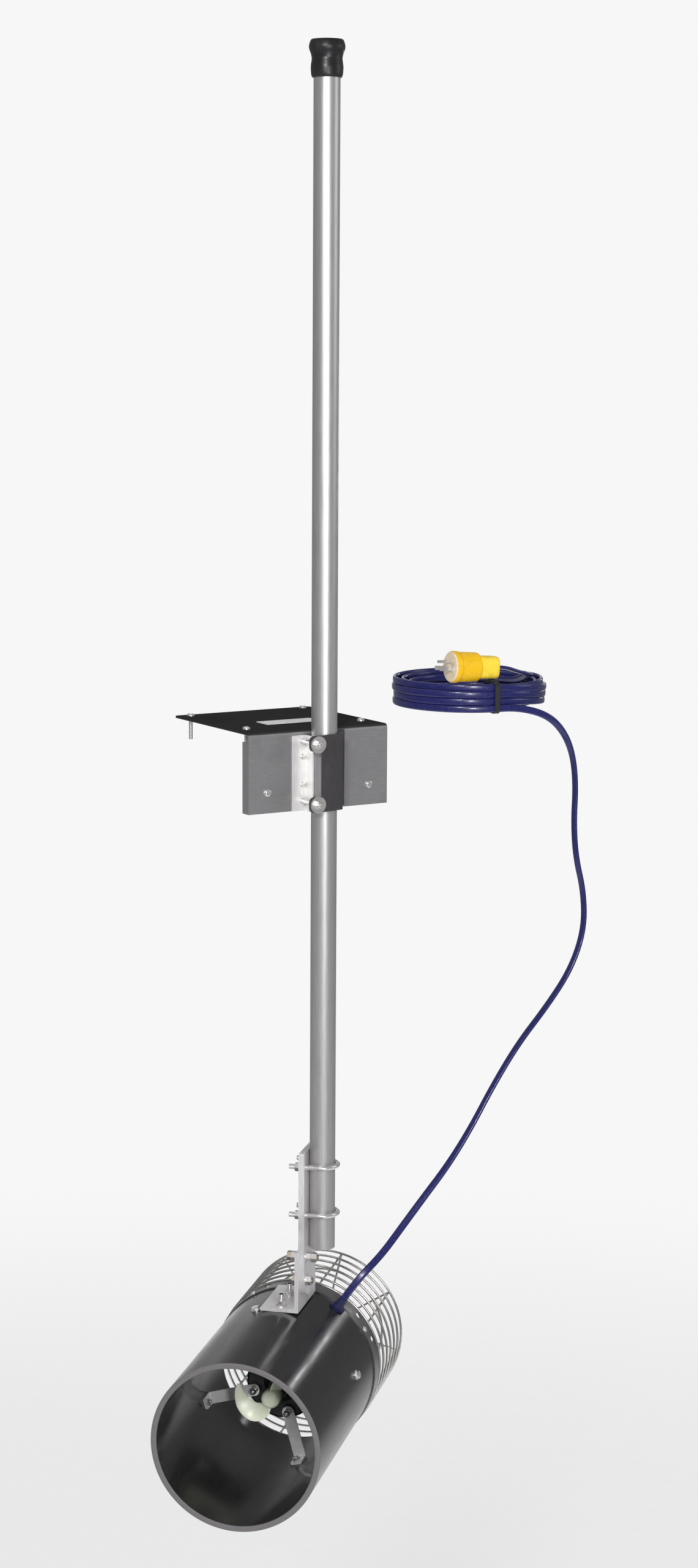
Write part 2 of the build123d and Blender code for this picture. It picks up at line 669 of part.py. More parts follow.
def u_bolt_washers():
    washer = disc(9.0, WASHER_THICKNESS, U_BOLT_ROD / 2)
    return HEAD * group(across(ANGLE_SIDE - WASHER_THICKNESS, y, z) * washer for y, z in u_bolt_legs())


def u_bolt_nuts():
    nut = hex_nut(12.7, 6.7, U_BOLT_ROD / 2)
    return HEAD * group(across(ANGLE_SIDE - WASHER_THICKNESS - 6.7, y, z) * nut for y, z in u_bolt_legs())


def foot_bolts():
    """Bolts from inside the tube, up through its wall and the angle's foot."""
    edge = FOOT_MIDDLE + FOOT_BOLT
    seat = sqrt(TUBE_BORE ** 2 - edge ** 2)
    parts = []
    for x, y in foot_bolt_places():
        head = Pos(x, y, seat - 3.5) * fillet(disc(FOOT_BOLT, 3.5).edges().group_by(Axis.Z)[0], 2.2)
        length = FOOT_TOP + FOOT_BOLT_TAIL - seat
        parts.append(head + Pos(x, y, seat + length / 2) * Cylinder(FOOT_BOLT / 2, length))
    return HEAD * group(parts)


def foot_washers():
    washer = disc(9.5, WASHER_THICKNESS, FOOT_BOLT / 2)
    return HEAD * group(Pos(x, y, FOOT_TOP) * washer for x, y in foot_bolt_places())


def foot_nuts():
    nut = hex_nut(12.7, 7.0, FOOT_BOLT / 2)
    return HEAD * group(Pos(x, y, FOOT_TOP + WASHER_THICKNESS) * nut for x, y in foot_bolt_places())


# Housing tube and struts


def strut_bolt_place():
    return STRUT_BACK - STRUT_FOOT + STRUT_BOLT_INSET


def housing_tube():
    """Straight plastic pipe, open at both ends, drilled for its bolts, screws and cord bushing."""
    tube = axial(TUBE_RADIUS, 0, TUBE_LENGTH) - axial(TUBE_BORE, 0, TUBE_LENGTH)
    tube = chamfer(tube.edges().filter_by(GeomType.CIRCLE), RIM_CHAMFER)
    for x, y in foot_bolt_places():
        tube -= Pos(x, y, TUBE_RADIUS) * Cylinder(FOOT_BOLT / 2 + HOLE_GAP, TUBE_WALL * 4)
    for angle in STRUT_ANGLES:
        hole = Cylinder(STRUT_BOLT / 2 + HOLE_GAP, TUBE_WALL * 4)
        tube -= radial(angle, strut_bolt_place(), TUBE_RADIUS) * hole
    for angle in GUARD_SCREW_ANGLES:
        hole = Cylinder(GUARD_SCREW_SHANK / 2, TUBE_WALL * 4)
        tube -= radial(angle, guard_screw_place(), TUBE_RADIUS) * hole
    exit_hole = Cylinder(BUSHING_NECK / 2 + HOLE_GAP, TUBE_WALL * 4)
    tube -= radial(CORD_EXIT_ANGLE, CORD_EXIT_PLACE, TUBE_RADIUS) * exit_hole
    return HEAD * tube


def one_strut():
    """Flat strap from the motor's face to the wall, bent forward into a foot; it stands along +Z."""
    half = STRUT_WIDTH / 2
    wall = TUBE_BORE - STRUT_WALL_GAP
    arm = span(-half, half, STRUT_FACE, STRUT_BACK, TIE_CIRCLE, wall)
    arm += axial(half, STRUT_FACE, STRUT_BACK, 0, TIE_CIRCLE)
    foot = span(-half, half, STRUT_BACK - STRUT_FOOT, STRUT_BACK, wall - STRUT_THICKNESS, wall)
    strut = arm + foot
    heel = strut.edges().filter_by(Axis.X).sort_by_distance((0, STRUT_BACK, wall))[0]
    strut = fillet(heel, STRUT_THICKNESS + 1.0)
    throat = strut.edges().filter_by(Axis.X).sort_by_distance((0, STRUT_FACE, wall - STRUT_THICKNESS))[0]
    strut = fillet(throat, 1.5)
    toe = [e for e in strut.edges().filter_by(Axis.Z) if abs(e.center().Y - (STRUT_BACK - STRUT_FOOT)) < 0.01]
    strut = fillet(toe, 4.0)
    strut -= axial(TIE_BOLT / 2 + HOLE_GAP, STRUT_FACE - 2, STRUT_BACK + 2, 0, TIE_CIRCLE)
    strut -= Pos(0, strut_bolt_place(), wall) * Cylinder(STRUT_BOLT / 2 + HOLE_GAP, STRUT_THICKNESS * 4)
    return strut


def motor_struts():
    return HEAD * group(Rot(0, angle, 0) * one_strut() for angle in STRUT_ANGLES)


def strut_bolts():
    """Flanged bolts from outside the tube into the struts' feet."""
    sag = TUBE_RADIUS - sqrt(TUBE_RADIUS ** 2 - 8.0 ** 2)
    length = TUBE_WALL + STRUT_WALL_GAP + STRUT_THICKNESS + 9.0
    head = Pos(0, 0, 1.5) * hexagon(11.1, 5.0) + disc(8.0, 1.5 + sag)
    bolt = head + Pos(0, 0, -length / 2) * Cylinder(STRUT_BOLT / 2, length)
    return HEAD * group(radial(angle, strut_bolt_place(), TUBE_RADIUS) * bolt for angle in STRUT_ANGLES)


def strut_nuts():
    nut = hex_nut(11.1, 6.0, STRUT_BOLT / 2)
    seat = TUBE_BORE - STRUT_WALL_GAP - STRUT_THICKNESS
    return HEAD * group(radial(angle, strut_bolt_place(), seat - 6.0) * nut for angle in STRUT_ANGLES)


# Motor


def tie_places():
    return [(TIE_CIRCLE * sin(radians(a)), TIE_CIRCLE * cos(radians(a))) for a in STRUT_ANGLES]


def front_bell():
    """End bell with a nose round the shaft seal and four bosses that carry the struts."""
    can_bore = MOTOR_RADIUS - CAN_WALL
    outline = [(SHAFT_RADIUS + ROTOR_GAP, NOSE_FRONT), (NOSE_RADIUS - 8, NOSE_FRONT)]
    outline += [(NOSE_RADIUS, BELL_FRONT - 4), (NOSE_RADIUS + 6, BELL_FRONT)]
    outline += [(MOTOR_RADIUS - 5, BELL_FRONT), (MOTOR_RADIUS, BELL_FRONT + 5)]
    outline += [(MOTOR_RADIUS, CAN_FRONT), (can_bore, CAN_FRONT), (can_bore, CAN_FRONT + SPIGOT)]
    outline += [(MOTOR_RADIUS - 6, CAN_FRONT + SPIGOT), (MOTOR_RADIUS - 6, CAN_FRONT)]
    outline += [(BEARING_RADIUS, CAN_FRONT), (BEARING_RADIUS, FRONT_BEARING)]
    outline += [(SHAFT_RADIUS + ROTOR_GAP, FRONT_BEARING)]
    bell = spun(outline)
    for x, z in tie_places():
        bell += axial(9.0, STRUT_BACK, BELL_FRONT + 4, x, z)
        bell -= axial(TIE_BOLT / 2 + HOLE_GAP, STRUT_BACK - 1, CAN_FRONT + SPIGOT + 1, x, z)
    return HEAD * bell


def motor_can():
    can = axial(MOTOR_RADIUS, CAN_FRONT, CAN_BACK) - axial(MOTOR_RADIUS - CAN_WALL, CAN_FRONT, CAN_BACK)
    can -= radial(CORD_EXIT_ANGLE, CORD_EXIT_PLACE, MOTOR_RADIUS) * Cylinder(7.0 + HOLE_GAP, CAN_WALL * 6)
    return HEAD * can


def rear_bell():
    can_bore = MOTOR_RADIUS - CAN_WALL
    pocket = REAR_BEARING + BEARING_WIDTH
    outline = [(0, BELL_BACK), (MOTOR_RADIUS - 9, BELL_BACK), (MOTOR_RADIUS, BELL_BACK - 8)]
    outline += [(MOTOR_RADIUS, CAN_BACK), (can_bore, CAN_BACK), (can_bore, CAN_BACK - SPIGOT)]
    outline += [(MOTOR_RADIUS - 6, CAN_BACK - SPIGOT), (MOTOR_RADIUS - 6, CAN_BACK)]
    outline += [(BEARING_RADIUS, CAN_BACK), (BEARING_RADIUS, pocket), (0, pocket)]
    bell = spun(outline)
    for x, z in tie_places():
        bell -= axial(TIE_BOLT / 2 + HOLE_GAP, CAN_BACK - SPIGOT - 1, BELL_BACK + 1, x, z)
    return HEAD * bell


def tie_bolts():
    """Long bolts through the whole motor, with their heads at the rear."""
    parts = []
    for x, z in tie_places():
        shank = axial(TIE_BOLT / 2, STRUT_FACE - 8, BELL_BACK, x, z)
        head = Pos(x, BELL_BACK, z) * Rot(-90, 0, 0) * hexagon(11.1, 4.5)
        parts.append(shank + head)
    return HEAD * group(parts)


def acorn_nuts():
    """Domed nuts that clamp the struts to the motor's face."""
    parts = []
    for x, z in tie_places():
        flange = axial(9.0, STRUT_FACE - 1.2, STRUT_FACE, x, z)
        nut = flange + Pos(x, STRUT_FACE - 1.2, z) * Rot(90, 0, 0) * hexagon(12.0, 5.5)
        nut += Pos(x, STRUT_FACE - 7.5, z) * Sphere(5.8)
        nut -= axial(TIE_BOLT / 2, STRUT_FACE - 8, STRUT_FACE, x, z)
        parts.append(nut)
    return HEAD * group(parts)


def stator():
    body = axial(MOTOR_RADIUS - CAN_WALL, STATOR_FRONT, STATOR_FRONT + STATOR_LENGTH)
    body -= axial(STATOR_BORE, STATOR_FRONT, STATOR_FRONT + STATOR_LENGTH)
    for x, z in tie_places():
        body -= axial(TIE_BOLT / 2 + HOLE_GAP, STATOR_FRONT - 1, STATOR_FRONT + STATOR_LENGTH + 1, x, z)
    return HEAD * body


def bearing(start):
    end = start + BEARING_WIDTH
    return HEAD * (axial(BEARING_RADIUS, start, end) - axial(SHAFT_RADIUS + SHAFT_CLEARANCE, start, end))


def shaft_seal():
    bore = axial(SHAFT_RADIUS + SHAFT_CLEARANCE, SEAL_FRONT, NOSE_FRONT)
    ring = axial(SEAL_RADIUS, SEAL_FRONT, NOSE_FRONT) - bore
    return HEAD * chamfer(ring.edges().filter_by(GeomType.CIRCLE).group_by(Axis.Y)[0], 1.0)


def motor_gland():
    """Cable gland on the can: threaded neck, hexagon and domed cap."""
    low = MOTOR_RADIUS - CAN_WALL + 0.2
    place = radial(CORD_EXIT_ANGLE, CORD_EXIT_PLACE, 0)
    gland = Pos(0, 0, (low + GLAND_TOP) / 2) * Cylinder(7.0, GLAND_TOP - low)
    gland += Pos(0, 0, MOTOR_RADIUS) * hexagon(19.0, 6.0)
    cone_foot = MOTOR_RADIUS + 6.0
    gland += Pos(0, 0, cone_foot) * Cone(9.0, 7.0, GLAND_TOP - cone_foot, align=STANDING)
    return HEAD * (place * gland)


def motor_lead():
    """The cord's stretch inside the tube, from the gland to the bushing."""
    end = TUBE_BORE - 3.0
    lead = Pos(0, 0, (GLAND_TOP + end) / 2) * Cylinder(CORD_DIAMETER / 2, end - GLAND_TOP)
    return HEAD * (radial(CORD_EXIT_ANGLE, CORD_EXIT_PLACE, 0) * lead)


def cord_bushing():
    """Rubber bushing in the tube's wall with a tapered boot outside."""
    neck = Pos(0, 0, -(TUBE_WALL + 3.0) / 2 + 0.6) * Cylinder(BUSHING_NECK / 2, TUBE_WALL + 4.2)
    flange = Pos(0, 0, 0.6) * disc(BUSHING_FLANGE / 2, 3.0)
    boot_length = BUSHING_LENGTH - 3.6
    boot = Pos(0, 0, 3.6) * Cone(BUSHING_NECK / 2, BUSHING_TIP / 2, boot_length, align=STANDING)
    return HEAD * (radial(CORD_EXIT_ANGLE, CORD_EXIT_PLACE, TUBE_RADIUS) * (neck + flange + boot))


# Rotor and propeller


def motor_shaft():
    front = HUB_START + HUB_LENGTH - HUB_BORE_DEPTH
    back = REAR_BEARING + BEARING_WIDTH - 0.3
    shaft = axial(SHAFT_RADIUS, front, back)
    shaft = chamfer(shaft.edges().filter_by(GeomType.CIRCLE), 0.8)
    shaft -= pin_place() * Cylinder(PIN_DIAMETER / 2, HUB_RADIUS * 3)
    return HEAD * shaft


def rotor_core():
    core = axial(STATOR_BORE - ROTOR_GAP, STATOR_FRONT, STATOR_FRONT + STATOR_LENGTH)
    return HEAD * (core - axial(SHAFT_RADIUS, STATOR_FRONT, STATOR_FRONT + STATOR_LENGTH))


def pin_place():
    return Pos(0, HUB_START + HUB_LENGTH - PIN_INSET, 0) * Rot(0, BLADE_ROOT_ANGLE + 90, 0)


def shear_pin():
    return HEAD * (pin_place() * Cylinder(PIN_DIAMETER / 2, HUB_RADIUS * 2 - 0.4))


def blade():
    """Scimitar blade: thin lens sections along a curve that sweeps round from the hub to the tip."""
    stations = [
        (9.0, -160.0, 20.0, 4.6, 52.0),
        (26.0, -150.0, 33.0, 4.2, 40.0),
        (40.0, -132.0, 36.0, 3.6, 32.0),
        (48.5, -108.0, 27.0, 3.0, 27.0),
        (55.0, -86.0, 15.0, 2.2, 24.0),
        (PROPELLER_RADIUS - 4.0, -72.0, 4.0, 1.6, 22.0),
    ]
    middle = HUB_START + HUB_LENGTH / 2
    centres = [Vector(r * sin(radians(a)), middle, r * cos(radians(a))) for r, a, *_ in stations]
    line = Spline(*centres)
    last = len(stations) - 1
    sections = []
    for i, (r, a, width, thick, pitch) in enumerate(stations):
        if i in (0, last):
            along = line.tangent_at(i / last, position_mode=PositionMode.PARAMETER)
        else:
            along = (centres[i + 1] - centres[i - 1]).normalized()
        outward = Vector(0, 1, 0).cross(along).normalized()
        chord = outward * cos(radians(pitch)) + Vector(0, 1, 0) * sin(radians(pitch))
        plane = Plane(origin=centres[i], x_dir=chord, z_dir=along)
        sections.append(plane * Ellipse(width / 2, thick / 2))
    return loft(sections)


def propeller():
    """Two-blade propeller with a closed round nose."""
    nose = axial(HUB_RADIUS, HUB_START, HUB_START + HUB_LENGTH)
    nose = fillet(nose.edges().filter_by(GeomType.CIRCLE).group_by(Axis.Y)[0], 5.0)
    first = blade()
    body = nose + first + Rot(0, 180, 0) * first
    body -= axial(SHAFT_RADIUS, HUB_START + HUB_LENGTH - HUB_BORE_DEPTH, HUB_START + HUB_LENGTH * 2)
    body -= pin_place() * Cylinder(PIN_DIAMETER / 2, HUB_RADIUS * 2 + 2)
    return HEAD * body


# Intake guard


def guard_screw_place():
    return TUBE_LENGTH - BAND_OVERLAP / 2


def wire_ring(radius, place):
    return Rot(0, 11, 0) * revolve(Pos(radius, place) * Circle(WIRE_RADIUS), Axis.Y)


def guard_band():
    """Sheet band that slips over the tube's end, with a hole for each screw and a slot each side of it."""
    bore = TUBE_RADIUS + BAND_INNER_GAP
    back = BAND_FRONT + BAND_LENGTH
    band = axial(bore + BAND_THICKNESS, BAND_FRONT, back) - axial(bore, BAND_FRONT, back)
    slot = extrude(SlotOverall(BAND_SLOT_LENGTH, BAND_SLOT_WIDTH), BAND_THICKNESS * 3, both=True)
    for angle in GUARD_SCREW_ANGLES:
        hole = Cylinder(GUARD_SCREW_SHANK / 2 + HOLE_GAP, 12)
        band -= radial(angle, guard_screw_place(), TUBE_RADIUS) * hole
        for side in (-BAND_SLOT_TURN, BAND_SLOT_TURN):
            band -= radial(angle + side, BAND_FRONT + BAND_SLOT_PLACE, TUBE_RADIUS) * slot
    return HEAD * band


def guard_rings():
    """Hoops welded round the long wires, and rear rings welded to their bent-in ends."""
    places = [TUBE_LENGTH + GUARD_FIRST_RING + GUARD_RING_PITCH * i for i in range(GUARD_RINGS)]
    hoops = [wire_ring(GUARD_RING_RADIUS, place) for place in places]
    rear = GUARD_REAR - ROD_RADIUS - WELD_GAP - WIRE_RADIUS
    return HEAD * group(hoops + [wire_ring(radius, rear) for radius in REAR_RING_RADII])


def guard_rods():
    """Long wires welded inside the band, at the screws and between them, bent inwards at the rear."""
    start = (0, TUBE_LENGTH + ROD_SETBACK, ROD_PLACE)
    corner = (0, GUARD_REAR, ROD_PLACE)
    tip = (0, GUARD_REAR, REAR_RING_RADII[0] - ROD_TIP)
    path = FilletPolyline(start, corner, tip, radius=ROD_BEND)
    rod = sweep(Plane(origin=start, z_dir=(0, 1, 0)) * Circle(ROD_RADIUS), path=path)
    turns = [GUARD_SCREW_ANGLES[0] + i * 360 / GUARD_RODS for i in range(GUARD_RODS)]
    return HEAD * group(Rot(0, turn, 0) * rod for turn in turns)


def guard_screws():
    screw = domed_screw(GUARD_SCREW_SHANK, TUBE_WALL + BAND_THICKNESS + 2.0, GUARD_SCREW_HEAD, 3.0)
    seat = TUBE_RADIUS + BAND_INNER_GAP + BAND_THICKNESS
    return HEAD * group(radial(angle, guard_screw_place(), seat) * screw for angle in GUARD_SCREW_ANGLES)


# Supply cord


def cord_points():
    """The free cord's route, from the bushing's end to the coil."""
    start = HEAD * radial(CORD_EXIT_ANGLE, CORD_EXIT_PLACE, TUBE_RADIUS + BUSHING_LENGTH)
    straight = HEAD * radial(CORD_EXIT_ANGLE, CORD_EXIT_PLACE, TUBE_RADIUS + BUSHING_LENGTH + CORD_FIRST_RUN)
    return [start.position, straight.position] + [Vector(*point) for point in CORD_ROUTE]


def cord_tube(points, name):
    """Straight runs joined by tangent arcs, each as large as its two runs allow."""
    radii = []
    for before, point, after in zip(points, points[1:], points[2:]):
        turn = radians((point - before).get_angle(after - point))
        radii.append(0.45 * min((point - before).length, (after - point).length) / tan(turn / 2))
    path = FilletPolyline(*points, radius=radii)
    section = Plane(origin=points[0], z_dir=points[1] - points[0]) * Circle(CORD_DIAMETER / 2)
    tube = sweep(section, path=path)
    expected = pi * (CORD_DIAMETER / 2) ** 2 * path.length
    print(name, "length", round(path.length, 1), "volume ratio", round(tube.volume / expected, 4))
    print(name, "radii", [round(radius) for radius in radii])
    return tube


def cord_middle():
    points = cord_points()
    return (points[CORD_SPLIT - 1] + points[CORD_SPLIT]) * 0.5


def cord_lower():
    return cord_tube(cord_points()[:CORD_SPLIT] + [cord_middle()], "cord_lower")


def cord_upper():
    return cord_tube([cord_middle()] + cord_points()[CORD_SPLIT:], "cord_upper")


def cord_coil():
    """Outer shape of the coiled length, which lies on the deck and on its tie."""
    x, y = COIL_CENTRE
    ring = disc(COIL_OUTER, COIL_HEIGHT, COIL_INNER)
    ring = fillet(ring.edges().filter_by(GeomType.CIRCLE), COIL_EDGE)
    return Pos(x, y, DECK_LEVEL + COIL_LIFT) * ring


def coil_tie():
    """Band pulled round the coil's section."""
    x, y = COIL_CENTRE
    gap = COIL_LIFT - TIE_BAND
    inner, outer = COIL_INNER - TIE_INNER_GAP, COIL_OUTER + gap
    top = COIL_LIFT + COIL_HEIGHT + gap
    band = span(inner - TIE_BAND, outer + TIE_BAND, -TIE_WIDTH / 2, TIE_WIDTH / 2, 0, top + TIE_BAND)
    band = fillet(band.edges().filter_by(Axis.Y), COIL_EDGE)
    window = span(inner, outer, -TIE_WIDTH, TIE_WIDTH, TIE_BAND, top)
    band -= fillet(window.edges().filter_by(Axis.Y), COIL_EDGE - TIE_BAND)
    return Pos(x, y, DECK_LEVEL) * Rot(0, 0, TIE_ANGLE) * band


def plug_place():
    """Place of the plug's face, with Z along the plug towards its cord."""
    x, y = PLUG_PLACE
    droop = radians(PLUG_DROOP)
    rest = DECK_LEVEL + COIL_LIFT + COIL_HEIGHT + PLUG_REST_GAP
    height = rest + PLUG_RADIUS * cos(droop) + (PLUG_FACE + PLUG_RIM) * sin(droop)
    return Location((x, y, height)) * Rot(0, 0, PLUG_HEADING) * Rot(0, 90 + PLUG_DROOP, 0)


def plug_face():
    """Pale insulating face that carries the prongs."""
    face = disc(PLUG_FACE_RADIUS, PLUG_FACE)
    return plug_place() * fillet(face.edges().group_by(Axis.Z)[0], 1.0)


def plug_body():
    """Tapered housing with a raised rim and grip ribs."""
    front, back = PLUG_FACE, PLUG_FACE + PLUG_BODY
    rim = front + PLUG_RIM
    outline = [(0, front), (PLUG_RADIUS - 0.8, front), (PLUG_RADIUS, front + 0.8), (PLUG_RADIUS, rim)]
    outline += [(PLUG_RADIUS - 1.2, rim + 1.0), (PLUG_REAR_RADIUS, back - 2.0)]
    outline += [(PLUG_REAR_RADIUS - 2.0, back), (0, back)]
    body = revolve(make_face(Polyline(*[(r, 0, z) for r, z in outline], close=True)), Axis.Z)
    for i in range(12):
        groove = Pos(PLUG_RADIUS + 0.6, 0, front + PLUG_RIM + 18.0) * Cylinder(2.0, 26.0)
        body -= Rot(0, 0, i * 30) * groove
    return plug_place() * body


def plug_tail():
    """Squared cord grip behind the housing."""
    half = PLUG_TAIL_SIZE / 2
    back = PLUG_FACE + PLUG_BODY
    tail = span(-half, half, -half, half, back, back + PLUG_TAIL)
    tail = fillet(tail.edges().filter_by(Axis.Z), half / 2)
    return plug_place() * chamfer(tail.edges().group_by(Axis.Z)[-1], 2.0)


def plug_blades():
    """Two flat blades."""
    prong = Box(7.0, 1.6, PRONG_LENGTH)
    return plug_place() * group(Pos(2.5, side * PRONG_CIRCLE, -PRONG_LENGTH / 2) * prong for side in (-1, 1))


def plug_ground_pin():
    pin = Pos(-PRONG_CIRCLE, 0, -PRONG_LENGTH / 2) * Cylinder(GROUND_PIN / 2, PRONG_LENGTH)
    return plug_place() * pin


def plug_lead():
    """The cord's last stretch, from the plug into the coil."""
    back = PLUG_FACE + PLUG_BODY + PLUG_TAIL
    start = plug_place() * Pos(0, 0, back)
    straight = plug_place() * Pos(0, 0, back + PLUG_LEAD_RUN)
    route = [Vector(*point) for point in PLUG_LEAD_ROUTE]
    return cord_tube([start.position, straight.position] + route, "plug_lead")


PARTS = {
    "dock_bracket": dock_bracket,
    "deck_screws": deck_screws,
    "face_screws": face_screws,
    "label_plate": label_plate,
    "pole_guide": pole_guide,
    "guide_screws": guide_screws,
    "guide_nuts": lambda: back_nuts(guide_screw_places()),
    "clamp_jaw": clamp_jaw,
    "clamp_bolts": clamp_bolts,
    "clamp_washers": clamp_washers,
    "clamp_nuts": clamp_nuts,
    "jaw_screws": jaw_screws,
    "jaw_nuts": lambda: back_nuts(jaw_screw_places()),
    "pole": pole,
    "pole_cap": pole_cap,
    "mount_bar": mount_bar,
    "mount_angle": mount_angle,
    "bar_bolts": bar_bolts,
    "bar_washers": bar_washers,
    "bar_nuts": bar_nuts,
    "u_bolts": u_bolts,
    "u_bolt_washers": u_bolt_washers,
    "u_bolt_nuts": u_bolt_nuts,
    "foot_bolts": foot_bolts,
    "foot_washers": foot_washers,
    "foot_nuts": foot_nuts,
    "housing_tube": housing_tube,
    "motor_struts": motor_struts,
    "strut_bolts": strut_bolts,
    "strut_nuts": strut_nuts,
    "front_bell": front_bell,
    "motor_can": motor_can,
    "rear_bell": rear_bell,
    "tie_bolts": tie_bolts,
    "acorn_nuts": acorn_nuts,
    "stator": stator,
    "front_bearing": lambda: bearing(FRONT_BEARING),
    "rear_bearing": lambda: bearing(REAR_BEARING),
    "shaft_seal": shaft_seal,
    "motor_gland": motor_gland,
    "motor_lead": motor_lead,
    "cord_bushing": cord_bushing,
    "motor_shaft": motor_shaft,
    "rotor_core": rotor_core,
    "shear_pin": shear_pin,
    "propeller": propeller,
    "guard_band": guard_band,
    "guard_rings": guard_rings,
    "guard_rods": guard_rods,
    "guard_screws": guard_screws,
    "cord_lower": cord_lower,
    "cord_upper": cord_upper,
    "cord_coil": cord_coil,
    "coil_tie": coil_tie,
    "plug_body": plug_body,
    "plug_face": plug_face,
    "plug_tail": plug_tail,
    "plug_blades": plug_blades,
    "plug_ground_pin": plug_ground_pin,
    "plug_lead": plug_lead,
}

if __name__ == "__main__":
    os.makedirs("parts", exist_ok=True)
    for name, make in PARTS.items():
        export_step(make(), f"parts/{name}.step")
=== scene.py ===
"""Looks for the dock-mounted water circulator.

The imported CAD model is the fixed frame. This script gives every CAD node a procedural
material, replaces the nodes whose real surface has more to it than a CAD solid shows,
and sets a plain studio round the object. Everything is in metres in the row frame.
"""

from __future__ import annotations

import json
import logging
import math
from abc import ABC, abstractmethod
from dataclasses import dataclass, field
from enum import Enum
from typing import Sequence

import bpy
import numpy as np
from mathutils import Matrix, Vector

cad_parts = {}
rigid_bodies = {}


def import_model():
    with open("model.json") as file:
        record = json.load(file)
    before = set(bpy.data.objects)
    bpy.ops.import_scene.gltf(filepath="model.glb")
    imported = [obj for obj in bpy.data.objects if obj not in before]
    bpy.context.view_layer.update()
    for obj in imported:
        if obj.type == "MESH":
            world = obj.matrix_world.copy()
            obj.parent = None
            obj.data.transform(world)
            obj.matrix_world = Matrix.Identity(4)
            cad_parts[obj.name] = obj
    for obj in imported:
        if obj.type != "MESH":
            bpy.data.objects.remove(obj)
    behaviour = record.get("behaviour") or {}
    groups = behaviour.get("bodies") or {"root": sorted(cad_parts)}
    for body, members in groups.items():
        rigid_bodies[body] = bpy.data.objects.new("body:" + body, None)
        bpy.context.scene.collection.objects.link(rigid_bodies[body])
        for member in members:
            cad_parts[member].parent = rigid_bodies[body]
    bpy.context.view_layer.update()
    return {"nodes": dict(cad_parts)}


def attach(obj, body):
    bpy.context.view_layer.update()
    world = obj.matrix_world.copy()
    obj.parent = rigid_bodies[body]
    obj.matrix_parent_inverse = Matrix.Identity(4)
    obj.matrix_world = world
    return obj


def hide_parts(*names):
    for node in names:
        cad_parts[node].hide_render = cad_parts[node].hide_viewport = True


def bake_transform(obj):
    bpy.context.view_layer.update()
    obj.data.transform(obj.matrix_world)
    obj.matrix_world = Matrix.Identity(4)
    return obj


logging.basicConfig(level=logging.INFO, format="%(levelname)s %(message)s")
LOG = logging.getLogger("water_circulator")

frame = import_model()

Array = np.ndarray
Material = bpy.types.Material
Node = bpy.types.Node
Piece = bpy.types.Object
Socket = bpy.types.NodeSocket
Pair = tuple[float, float]
Point = tuple[float, float, float]
MM = 0.001
TURN = 2 * math.pi


class Body(str, Enum):
    """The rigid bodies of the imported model."""

    DOCK = "dock_mount"
    POLE = "sliding_pole"
    HEAD = "head"
    ROTOR = "rotor"


class Slot(str, Enum):
    """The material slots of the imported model."""

    BRACKET = "bracket_steel"
    BRIGHT = "bright_steel"
    HARDWARE = "hardware"
    BRASS = "brass_bolt"
    POLE = "pole_metal"
    VINYL = "black_vinyl"
    PIPE = "pipe_plastic"
    PLATE = "plate"
    NYLON = "nylon"
    CORE = "core_steel"
    RUBBER = "black_rubber"
    BLUE = "blue_jacket"
    YELLOW = "yellow_plastic"
    CREAM = "cream_plastic"


class Rise(str, Enum):
    """Ways in which a value runs from one end of a window to the other."""

    SMOOTH = "SMOOTHSTEP"
    EVEN = "LINEAR"


# Places that the CAD source also has


@dataclass(frozen=True)
class Place:
    """A sub-assembly's own frame."""

    origin: Point
    x_axis: Point = (1.0, 0.0, 0.0)
    y_axis: Point = (0.0, 1.0, 0.0)
    z_axis: Point = (0.0, 0.0, 1.0)

    @classmethod
    def turned(cls, origin: Point, angle: float) -> Place:
        """Frame at an origin, turned about the vertical by an angle in radians."""
        c, s = math.cos(angle), math.sin(angle)
        return cls(origin, (c, s, 0.0), (-s, c, 0.0))

    def points(self, local: Array) -> Array:
        """Points of this frame as points of the row frame."""
        return local @ np.array([self.x_axis, self.y_axis, self.z_axis]) + np.array(self.origin)


HEADING = math.radians(44.5)
HEAD = Place.turned((-0.25008, -0.316218, -1.083325), -HEADING)
PLUG = Place(
    origin=(0.293, -0.069, 0.0787917),
    x_axis=(-0.052137, 0.004561, -0.99863),
    y_axis=(0.087156, 0.996195, 0.0),
    z_axis=(0.994829, -0.087036, -0.052336),
)
ROW = Place((0.0, 0.0, 0.0))
POLE_AXIS = (-0.0027, -0.161)
COIL_CENTRE = (0.389, 0.018)
STRAP_DEGREES = -102.0
FRONT_VIEW = np.array([0.511, 0.846, -0.153])
UP = np.array([0.0, 0.0, 1.0])

LOWER_ROUTE: tuple[Point, ...] = (
    (0.059668, -0.127091, -0.952316), (0.076419, -0.143552, -0.917497), (0.125, -0.139, -0.885),
    (0.169, -0.131, -0.847), (0.212, -0.127, -0.806), (0.264, -0.125, -0.755), (0.310, -0.124, -0.697),
    (0.352, -0.124, -0.632), (0.403, -0.125, -0.563), (0.432, -0.125, -0.534),
)
UPPER_ROUTE: tuple[Point, ...] = (
    (0.432, -0.125, -0.534), (0.461, -0.125, -0.505), (0.509, -0.126, -0.446), (0.535, -0.127, -0.379),
    (0.532, -0.127, -0.312), (0.515, -0.126, -0.252), (0.511, -0.124, -0.190), (0.514, -0.124, -0.130),
    (0.507, -0.124, -0.076), (0.486, -0.125, -0.034), (0.451, -0.125, -0.004), (0.399, -0.114, 0.010),
)
PLUG_LEAD: tuple[Point, ...] = (
    (0.482, -0.020, 0.0505), (0.474, -0.041, 0.0540), (0.460, -0.061, 0.0570), (0.441, -0.074, 0.0600),
    (0.419, -0.079, 0.0660), (0.396462, -0.078052, 0.073349), (0.378555, -0.076485, 0.074291),
)


# Shader trees and finishes


